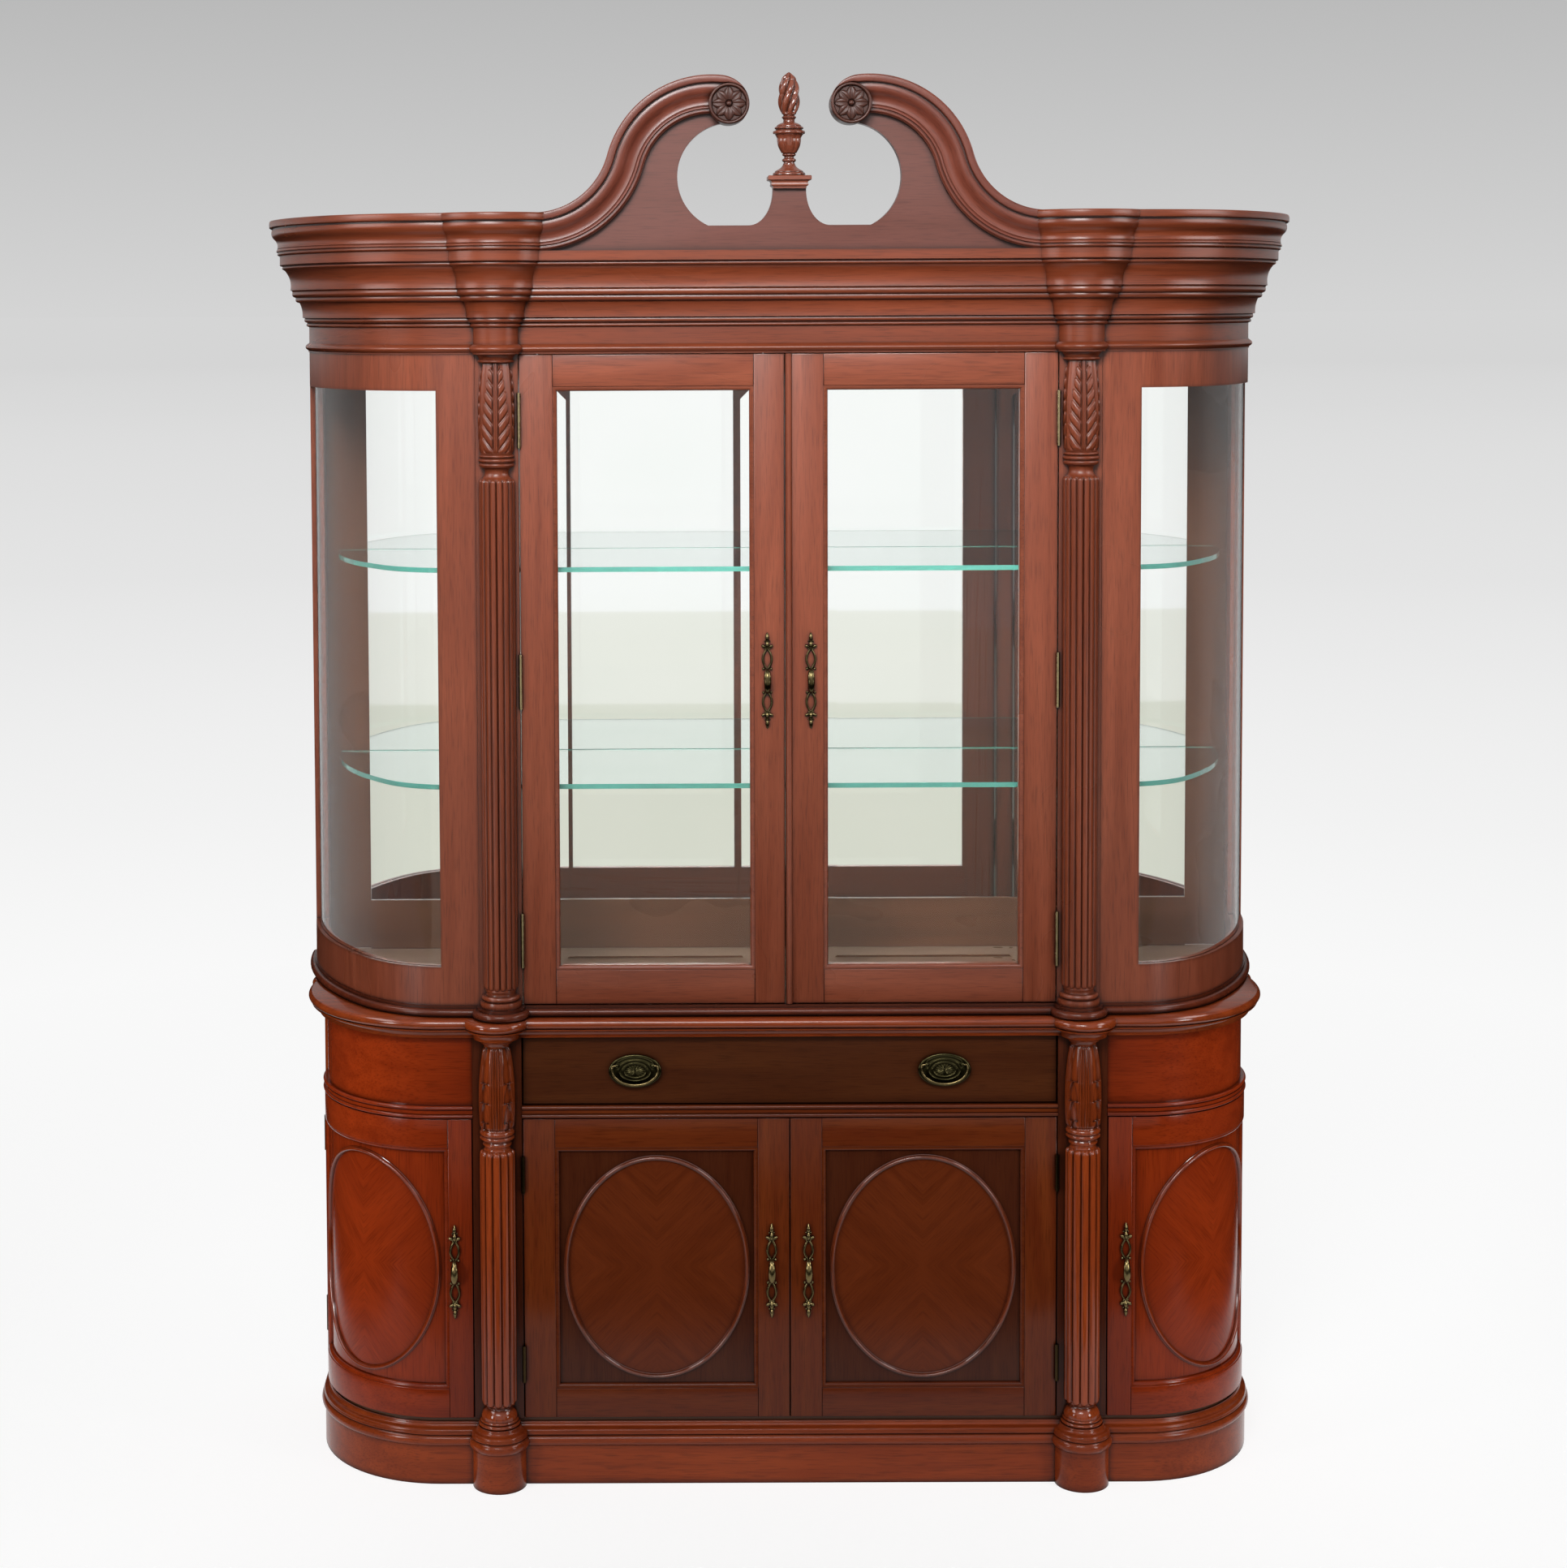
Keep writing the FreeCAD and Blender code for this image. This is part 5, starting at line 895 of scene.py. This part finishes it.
# Silvered plate: a clear even mirror with a trace of bloom in patches about 200 mm across
silvering, tree, skin = new_finish("silvered_mirror")
spot = add(tree, "ShaderNodeTexCoord").outputs["Object"]
bloom = add(tree, "ShaderNodeTexNoise", {"Vector": spot, "Scale": 1 / 0.2, "Detail": 2.0}).outputs["Fac"]
silver = add(tree, "ShaderNodeMix", {0: bloom, 6: linear("#FBFCFB"), 7: linear("#F6F9F7")}, data_type="RGBA").outputs[2]
feed(tree, skin, {"Base Color": silver, "Metallic": 1.0, "Roughness": 0.02})
dress("mirror_plate", "back_mirror", silvering, "mirror", ease=0.0008)
MIRROR_SILL_X, MIRROR_SILL_Y, MIRROR_SILL_Z = (-0.715, 0.715), (0.238, 0.2428), (0.7865, 0.872)
sill_plan = list(zip(MIRROR_SILL_X + MIRROR_SILL_X[::-1], sorted(MIRROR_SILL_Y * 2)))
piece("mirror_sill", capped([[(x, y, z) for x, y in sill_plan] for z in MIRROR_SILL_Z]), inside_board, "case",
      "inside_wood")
for name, node, finish, slot in (("bent_panes", "end_glasses", window_glass, "clear_glass"),
                                 ("plate_shelves", "glass_shelves", shelf_plate, "shelf_glass")):
    pane = dress(name, node, finish, slot)
    clear_pane(pane)
dress("shelf_rests", "shelf_pins", brass, "antique_brass")
shelf_rim = polished_glass("green_plate_edge", ("#4E988A", "#458C7E"), 0.0, 1.5, clear=0.35, rough=0.12)
pane.data.materials.append(shelf_rim)
# the rim's glass goes on every face of a shelf that looks sideways
for face in pane.data.polygons:
    face.material_index = int(abs(face.normal.z) < 0.5)

# Hutch columns
# Two taller engaged columns, reeded and carved as the lower ones are, glued to the hutch posts under the breaks of
# the cornice.


def leaf_relief(up, angle):
    """Depth in mm of three carved leaves round a vase: raised rib, rising lobes, scalloped edge, side leaves."""
    across = abs((angle * 1.5 / math.pi + 0.5) % 1 * 2 - 1)
    within = 7 * (up - 0.24 * across) % 1
    lobe = 1.0 - 2.2 * math.exp(-(min(within, 1 - within) / 0.15) ** 2)
    wide = 0.90 - 0.45 * max(up - 0.30, 0) / 0.70
    wide *= (0.86 + 0.16 * math.sin(math.pi * within)) * min((1 - up) / 0.08, 1) ** 0.5
    inside, on_blade = ramp(wide - across, 0.06), ramp(across - 0.16, 0.05)
    rib = 1.0 * (across < 0.10) - 1.3 * math.exp(-((across - 0.15) / 0.035) ** 2)
    rib -= 0.7 * math.exp(-(across / 0.025) ** 2)
    blade = 1.2 + 1.2 * lobe * on_blade + rib
    side_leaf = 1.8 * math.exp(-((1 - across) / 0.14) ** 2)
    return (inside * blade + (1 - inside) * side_leaf) * min(up / 0.04, 1) - 1.6


hutch_outline = turning(
    (786, 33, 0.6, 4), (796, 33, 0, 1), (797, 29, 2.0, 6), (805, 29, 0, 1), (806, 24, -0.8, 5), (813, 25, 0, 1),
    (815, 28, 0, 16), (832, 28, 0, 4), (1618, 29, 0, 16), (1634, 28.5, 0, 1), (1635, 23, -2.8, 6), (1651, 21, 0, 1),
    (1653, 26, 2.2, 6), (1660, 26, 0, 1), (1660.5, 27, 2.2, 6), (1667, 27, 0, 1), (1667.5, 26, 2, 6), (1673, 26, 0, 1),
    (1674, 26.5, 3.6, 130), (1818, 23, 0, 1), (1819, 28, 1.2, 4), (1823, 28, 0, 1), (1824, 27, -1.2, 6),
    (1832, 33, 0, 1))
HUTCH_COLUMN_X = 0.4635
HUTCH_REEDS = (815, 1634, 16, 3.2, 0.0)
HUTCH_LEAVES = (1674, 1818)
columns = column_pair(HUTCH_COLUMN_X, hutch_outline, HUTCH_REEDS, HUTCH_LEAVES, leaf_relief)
piece("tall_reeded_columns", columns, toned_and_shaded_mahogany, "case", "hutch_wood", ["hutch_columns"], lie="z")

# Hutch doors
# Tall mahogany frames with a rounded lip, each holding a pane of bevelled glass. The right-hand door carries the
# round astragal that covers the gap, and each meeting stile has a brass pull.
pull_brass = aged_brass("bronzed_pull_brass", "#544A31", "#1C170D")
pale_brass = aged_brass("pale_hinge_brass", "#A0906E", "#4A3E2A")
HUTCH_DOOR_Z = (0.7875, 1.8305)
HUTCH_HINGE_EDGE = 0.4275
HUTCH_STILE, HUTCH_RAILS = 0.053, (0.055, 0.051)
PANE_X, PANE_Z = (0.0555, 0.3745), (0.8425, 1.7795)
PANE_REAR, PANE_EDGE, PANE_FRONT, BEVEL_WIDE = -0.1385, -0.1405, -0.143, 0.021
HUTCH_PULL = (0.03475, 1.3095)
for side, sign, meeting_edge in (("left", -1, 0.007), ("right", 1, -0.0055)):
    body = f"hutch_door_{side}"
    members = door_frame((meeting_edge, HUTCH_HINGE_EDGE), HUTCH_DOOR_Z, (PANE_X[0] - meeting_edge, HUTCH_STILE),
                         HUTCH_RAILS, flat_place(sign), lip_deep=0.0055)
    piece(f"{body}_frame", members, hutch_mahogany, body, "hutch_wood", [f"hutch_door_frame_{side}"])
    loops = [loop(PANE_X, PANE_Z, inset, depth, flat_place(sign), 1)
             for inset, depth in ((0.0, PANE_REAR), (0.0, PANE_EDGE), (BEVEL_WIDE, PANE_FRONT))]
    pane = piece(f"{body}_bevelled_pane", capped(loops), window_glass, body, "clear_glass",
                 [f"hutch_door_glass_{side}"], lie="z", crease=0.5)
    clear_pane(pane)
    door_brass("hutch_door", side, (sign * HUTCH_PULL[0], HUTCH_PULL[1]), pull_brass, pale_brass, hinges_beyond=0.2)
dress("astragal_bead", "astragal", hutch_mahogany, "hutch_wood", "hutch_door_right", lie="z")
dress("base_hinge_halves", "case_hinges", dark_brass, "antique_brass", keep=lambda spot: spot.z < HUTCH_DOOR_Z[0])
dress("hutch_hinge_halves", "case_hinges", pale_brass, "antique_brass", keep=lambda spot: spot.z > HUTCH_DOOR_Z[0])

# Cornice and crown
# Lengths of run moulding, mitred round the columns and bent round the ends: architrave bead, frieze, beads, hollow
# and corona, and over them the crown that stops at the pediment.
BREAK_PROUD, BREAK_CORE, BREAK_INNERMOST = 0.003, 0.036, -0.010
# arcs in plan: centre and radius
NOSE = (0.540, 0.040, 0.190)
FLANK = (0.26933, 0.255, 0.53567)
NOSE_TURN = math.radians(51.54)


def hutch_line(out):
    """Right half of the hutch plan at a reach from its face: front, round break over the column, curved end."""
    radius, drop = BREAK_CORE + out, out - BREAK_PROUD
    if out > BREAK_INNERMOST and radius > abs(drop):
        opening = math.acos(drop / radius)
        line = arc((HUTCH_COLUMN_X, FACE_Y - BREAK_PROUD), radius, -opening, opening, 32)
    else:
        line = [(HUTCH_COLUMN_X + across, FACE_Y - out) for across in spread(-BREAK_CORE, BREAK_CORE, 32)]
    line += arc(NOSE[:2], NOSE[2] + out, 0, NOSE_TURN, 20)
    return line + arc(FLANK[:2], FLANK[2] + out, NOSE_TURN, math.pi / 2, 12)[1:]


def whole_line(out):
    """The hutch plan from the back at the left, round the front, to the back at the right."""
    half = hutch_line(out)
    return [(-x, y) for x, y in reversed(half)] + half


def swept(rows):
    """Vertices and faces of a closed section run along an open line, from one row of points for each of its stops."""
    count = len(rows[0])
    faces = []
    for row in range(len(rows)):
        low, high = row * count, (row + 1) % len(rows) * count
        faces += [(low + step, low + step + 1, high + step + 1, high + step) for step in range(count - 1)]
    faces += [tuple(row * count + end for row in range(len(rows))) for end in (0, count - 1)]
    return [spot for row in rows for spot in row], faces


def run_moulding(section, path):
    """A moulding of closed section run along a plan line that is worked out anew for each reach."""
    lines = [path(out) for out, _ in section]
    lengths = [0.0]
    for near, far in zip(lines[0], lines[0][1:]):
        lengths.append(lengths[-1] + math.dist(near, far))
    runs = [(length, 0.9 * out + high, out) for out, high in section for length in lengths]
    return *swept([[(x, y, high) for x, y in line] for (_, high), line in zip(section, lines)]), runs


WALL_IN = -24
cornice_section = moulding_line(
    (WALL_IN, 1832, 0), (1.5, 1832, 0), (1.5, 1834, 0), (2.0, 1834.5, 4.6), (2.0, 1846, 0), (0.0, 1847.5, 0),
    (0.0, 1874, 0), (1.0, 1874.5, 2.6), (3.0, 1881, 0), (3.2, 1881.5, 2.8), (7.0, 1889, 0), (11.0, 1890, -1.6),
    (15.5, 1915, 0), (17.0, 1915.5, 2.8), (22.0, 1923.5, 0), (22.5, 1924, 3.0), (27.5, 1933.5, 0), (29.0, 1936, 0),
    (31.0, 1936.5, -4.0), (40.0, 1970, 0), (41.5, 1971, 2.2), (43.5, 1977, 0), (47.5, 1978, 0), (48.5, 1979, 0),
    (48.5, 1994, 0), (WALL_IN, 1994, 0))
piece("cornice_run", run_moulding(cornice_section, whole_line), toned_and_shaded_mahogany, "case", "hutch_wood", ["cornice"])

crown_face = (
    (49.0, 1994, 0), (49.5, 1995, 1.9), (51.5, 2000, 0), (51.5, 2000.5, 1.9), (53.0, 2005, 0), (52.0, 2006, 0),
    (52.5, 2007, -2.6), (57.5, 2023, 2.4), (61.5, 2038, 0), (59.5, 2038.5, 0), (59.5, 2040.5, 0), (64.0, 2041, 0),
    (65.6, 2042.5, 0.3), (65.6, 2051, 0), (64.5, 2053, 0))
NECK_START = 0.4005
crown_section = moulding_line((WALL_IN, 1994, 0), *crown_face, (WALL_IN, 2053, 0))
parts = [run_moulding(crown_section, lambda out: [(sign * x, y) for x, y in [(NECK_START, FACE_Y - out)]
                                                  + hutch_line(out)]) for sign in (-1, 1)]
piece("crown_run", joined(parts), toned_and_shaded_mahogany, "case", "hutch_wood", ["crown"])

# Pediment
# A pierced board stands on the cornice between two swan necks that carry the crown moulding up to turned and carved
# rosettes. A small moulded block on the board's pedestal bears the finial, turned and carved with a twisted flame.
CROWN_TOP = 2.053
# arcs seen from the front: centre and radius
ROSETTE = (0.095, 2.220, 0.0319)
LOW_ARC = (0.4005, 2.1727, 0.1197)
HIGH_ARC = (0.123, 2.0968, 0.168)
SCOOP = (0.0915, 2.108, 0.084)
VOLUTE_X, VOLUTE_TURN = 0.105, math.radians(-84)
NECK_REAR, NECK_STEP = 38, 0.0135


def neck_line(down):
    """One swan neck seen from the front, at a distance below its top edge: a hollow sweep, a round one, a volute."""
    lean = math.atan2(LOW_ARC[0] - HIGH_ARC[0], LOW_ARC[1] - HIGH_ARC[1])
    last = math.asin((VOLUTE_X - HIGH_ARC[0]) / HIGH_ARC[2])
    line = arc(LOW_ARC[:2], LOW_ARC[2] + down, 0, -lean, 24)
    line += arc(HIGH_ARC[:2], HIGH_ARC[2] - down, math.pi - lean, math.pi - last, 30)[1:]
    rise = HIGH_ARC[1] + HIGH_ARC[2] * math.cos(last) - ROSETTE[1]
    reach, start = math.hypot(VOLUTE_X - ROSETTE[0], rise), math.atan2(VOLUTE_X - ROSETTE[0], rise)
    for share in spread(0, 1, 18)[1:]:
        turn = start + (VOLUTE_TURN - start) * share
        edge = ROSETTE[2] + (reach - ROSETTE[2]) * (1 - share) ** 2.2
        inner = edge - down * max(0.05, 1 - 1.6 * share)
        line.append((ROSETTE[0] + inner * math.sin(turn), ROSETTE[1] + inner * math.cos(turn)))
    return line


neck_mahogany = lacquered_mahogany("mahogany_faded_lacquer", "#6F392B", "#5E2D21", "#220E09", 0.32, 0.30, 0.30)
pediment_mahogany = lacquered_mahogany("mahogany_hazed_brown", "#5E332A", "#552C22", "#2A120C", 0.34, 0.34, 0.2)
BOARD_Y = (-0.188, -0.166)
BOARD_DOWN, BOARD_STOP = 0.012, 54
CORNICE_TOP = 1.994
SILL_Z, SCOOP_STOP = 2.032, math.radians(85)
PEDESTAL_FOOT, PEDESTAL_CURVE, PEDESTAL_TOP = (0.064, 2.087), (0.038, 0.055), 2.089
half = [(PEDESTAL_FOOT[0] - PEDESTAL_CURVE[0], PEDESTAL_TOP)]
half += [(PEDESTAL_FOOT[0] - PEDESTAL_CURVE[0] * math.cos(turn), PEDESTAL_FOOT[1] - PEDESTAL_CURVE[1] * math.sin(turn))
         for turn in spread(0, math.pi / 2, 16)]
scoop_start = math.asin((SILL_Z - SCOOP[1]) / SCOOP[2])
half += arc(SCOOP[:2], SCOOP[2], math.pi / 2 + scoop_start, math.pi / 2 + SCOOP_STOP, 32)
half += neck_line(BOARD_DOWN)[BOARD_STOP::-1] + [(LOW_ARC[0], CORNICE_TOP)]
outline = half + [(-x, z) for x, z in reversed(half)]
piece("pediment_board", capped([[(x, y, z) for x, z in outline] for y in BOARD_Y]), pediment_mahogany, "case",
      "hutch_wood", ["tympanum"])

neck_section = moulding_line((NECK_REAR, 1994, 0), *crown_face, (NECK_REAR, 2053, 0))
parts = []
for sign in (-1, 1):
    rows = [[(sign * x, FACE_Y - out, z) for x, z in neck_line(CROWN_TOP - high)] for out, high in neck_section]
    runs = [(NECK_STEP * step, high, out) for out, high in neck_section for step in range(len(rows[0]))]
    parts.append(swept(rows) + (runs,))
piece("swan_neck_mouldings", joined(parts), neck_mahogany, "case", "hutch_wood", ["swan_necks"])

carved_mahogany = lacquered_mahogany("mahogany_carved_brown", "#4C2B22", "#3F2119", "#140906", 0.38, 0.24)
# metres to the mm, a hair small so that the discs stay inside their solids
DISC_SCALE = 1 / 1002


def rosette_disc(centre_x):
    """A turned disc with a round rim, a sunk field and a boss, lying flat against the end of the neck."""
    outline = [(32, -166), (32, -215)]
    outline += [(29.5 + 2.4 * math.cos(turn), -215.5 - 2.6 * math.sin(turn))
                for turn in map(math.radians, range(0, 181, 20))]
    outline += [(26, -214), (5, -214)]
    outline += [(4.4 * math.cos(turn), -215 - 4.6 * math.sin(turn)) for turn in map(math.radians, range(0, 86, 10))]
    return capped([[(centre_x + radius * DISC_SCALE * math.sin(turn), y / 1000,
                     ROSETTE[1] + radius * DISC_SCALE * math.cos(turn)) for turn in circle(64)]
                   for radius, y in outline])


discs = joined([rosette_disc(sign * ROSETTE[0]) + ("x",) for sign in (-1, 1)])
piece("rosette_discs", discs, carved_mahogany, "case", "hutch_wood", ["rosettes"])

# Petals of the rosettes: one carved petal set round each boss by a node tree
petal_tree = bpy.data.node_groups.new("petals_round_a_boss", "GeometryNodeTree")
for label, kind in (("Petal", "NodeSocketGeometry"), ("Count", "NodeSocketInt"), ("Centre", "NodeSocketVector"),
                    ("Wood", "NodeSocketMaterial")):
    petal_tree.interface.new_socket(label, in_out="INPUT", socket_type=kind)
petal_tree.interface.new_socket("Petals", in_out="OUTPUT", socket_type="NodeSocketGeometry")
asked = add(petal_tree, "NodeGroupInput").outputs
stations = add(petal_tree, "GeometryNodePoints", {"Count": asked["Count"], "Position": asked["Centre"]})
number = add(petal_tree, "GeometryNodeInputIndex").outputs[0]
share = add(petal_tree, "ShaderNodeMath", {0: number, 1: asked["Count"]}, operation="DIVIDE").outputs[0]
turn = add(petal_tree, "ShaderNodeMath", {0: share, 1: 2 * math.pi}, operation="MULTIPLY").outputs[0]
spun = add(petal_tree, "ShaderNodeCombineXYZ", {"Y": turn}).outputs[0]
placed = add(petal_tree, "GeometryNodeInstanceOnPoints",
             {"Points": stations.outputs[0], "Instance": asked["Petal"], "Rotation": spun})
solid = add(petal_tree, "GeometryNodeRealizeInstances", {"Geometry": placed.outputs[0]})
coated = add(petal_tree, "GeometryNodeSetMaterial", {"Geometry": solid.outputs[0], "Material": asked["Wood"]})
add(petal_tree, "NodeGroupOutput", {"Petals": coated.outputs[0]})


def petal_mesh(inner, outer, wide, thick):
    """One leaf-shaped petal standing up from the centre, crowned, with a crease down the middle."""
    loops = []
    for share in spread(0, 1, 10):
        reach = inner + (outer - inner) * share
        half = wide * math.sin(math.pi * (0.12 + 0.83 * share)) ** 0.8
        rise = thick * math.sin(math.pi * (0.15 + 0.75 * share))
        loops.append([(across * half, -depth * rise, reach) for across, depth in (
            (-1, 0), (-0.9, 0.55), (-0.5, 1.0), (-0.12, 0.8), (0, 0.55), (0.12, 0.8), (0.5, 1.0), (0.9, 0.55),
            (1, 0), (0.5, -0.2), (-0.5, -0.2))])
    places, faces = capped(loops)
    return grained_mesh("petal", places, faces, lay_grain(places, "z"))


PETAL_COUNT, PETAL_Y = 8, -0.2138
PETAL_SIZE = (0.005, 0.0262, 0.0085, 0.0034)


def petals(name, centre, finish):
    """The ring of petals at one boss, turned from the node tree into a plain mesh."""
    seed = bpy.data.objects.new("petal_seed", petal_mesh(*PETAL_SIZE))
    scene.collection.objects.link(seed)
    maker = seed.modifiers.new("petals", "NODES")
    maker.node_group = petal_tree
    sockets = {item.name: item.identifier for item in petal_tree.interface.items_tree if item.in_out == "INPUT"}
    maker[sockets["Count"]] = PETAL_COUNT
    maker[sockets["Centre"]] = centre
    maker[sockets["Wood"]] = finish
    graph = bpy.context.evaluated_depsgraph_get()
    mesh = bpy.data.meshes.new_from_object(seed.evaluated_get(graph))
    bpy.data.objects.remove(seed)
    settle(name, mesh, "case", "hutch_wood")


for side, sign in (("left", -1), ("right", 1)):
    petals(f"rosette_petals_{side}", (sign * ROSETTE[0], PETAL_Y, ROSETTE[1]), carved_mahogany)

# Finial: a turned vase and a twisted flame on a moulded block, in mm of height
FINIAL_Y, FINIAL_STEPS = -0.177, 128
VASE_FOOT, VASE_HEAD, LEAF_FOOT, LEAF_RISE = 2144.5, 2174, 2144, 5
FLAME_FOOT, FLAME_TALL = 2205, 66
finial_outline = turning(
    (2109, 24.5, 0, 1), (2109.5, 25.3, 0.8, 5), (2114, 24.5, 0, 1), (2114.5, 22.5, 1.2, 5), (2118, 19.5, -2.4, 8),
    (2128, 9.5, 0, 1), (2129, 8.5, 0, 1), (2130.5, 8.5, 0, 1), (2131, 9.5, 1.6, 6), (2136, 9.5, 0, 1),
    (2136.5, 8, -0.4, 4), (2139.5, 8, 0, 1), (2140, 9, 1.6, 6), (2144, 9.5, 0, 1), (2144.5, 11.5, 2.2, 26),
    (2166, 19.5, -0.8, 10), (2174, 23, 0, 1), (2174.5, 24.5, 1.0, 5), (2179, 24.5, 0, 1), (2179.5, 22, -0.6, 3),
    (2181.5, 21, 0, 1), (2182, 22, 1.0, 5), (2185.5, 21.5, 0, 1), (2186, 19.5, 2.4, 8), (2192, 11, 0, 1),
    (2192.5, 9.5, -0.6, 4), (2198, 9.5, 0, 1), (2198.5, 10, 1.4, 5), (2202, 10, 0, 1), (2202.5, 9, 0, 1),
    (2204.5, 9.5, 0, 1), (2205, 11, 3.2, 34), (2236, 16.2, 2.4, 24), (2258, 11.5, 2.0, 12), (2268, 4.5, 0.4, 4),
    (2270.6, 0.8, 0, 1))


def finial_reach(height, angle, radius):
    """How far the finial's skin stands from its axis in mm: leaves round the vase, a flame of twisted tongues."""
    if VASE_FOOT < height < VASE_HEAD:
        leaf = abs(math.cos(3 * angle)) ** 0.5
        return radius - 1.8 * (1 - leaf) * min((height - LEAF_FOOT) / LEAF_RISE, 1)
    if height > FLAME_FOOT:
        up = (height - FLAME_FOOT) / FLAME_TALL
        twist = math.cos(3 * angle - 6.0 * up) ** 2
        return radius * (1 - 0.34 * min(up / 0.06, 1) * (1 - twist ** 0.45))
    return radius


finial_mahogany = lacquered_mahogany("mahogany_polished_brown", "#7C4230", "#683424", "#1E0C07", 0.16, 0.50)
turns = circle(FINIAL_STEPS)
loops = []
for height, radius in finial_outline:
    reaches = [finial_reach(height, turn, radius) / 1000 for turn in turns]
    loops.append([(reach * math.sin(turn), FINIAL_Y - reach * math.cos(turn), height / 1000)
                  for reach, turn in zip(reaches, turns)])
piece("flame_finial", capped(loops), finial_mahogany, "case", "hutch_wood", ["finial"], lie="z")

block_rows = moulding_line((26, 2089, 0), (26, 2092, 0), (27, 2092.5, 1.4), (28.5, 2097, -1.6), (32.5, 2102, 0),
                           (34, 2102.5, 0), (34, 2108, 0), (32.8, 2109, 0))
BLOCK_DEPTH = 26 / 34
loops = [[(x * half, FINIAL_Y + y * half * BLOCK_DEPTH, high) for x, y in ((-1, -1), (1, -1), (1, 1), (-1, 1))]
         for half, high in block_rows]
piece("moulded_block", capped(loops), hutch_mahogany, "case", "hutch_wood", ["finial_block"])
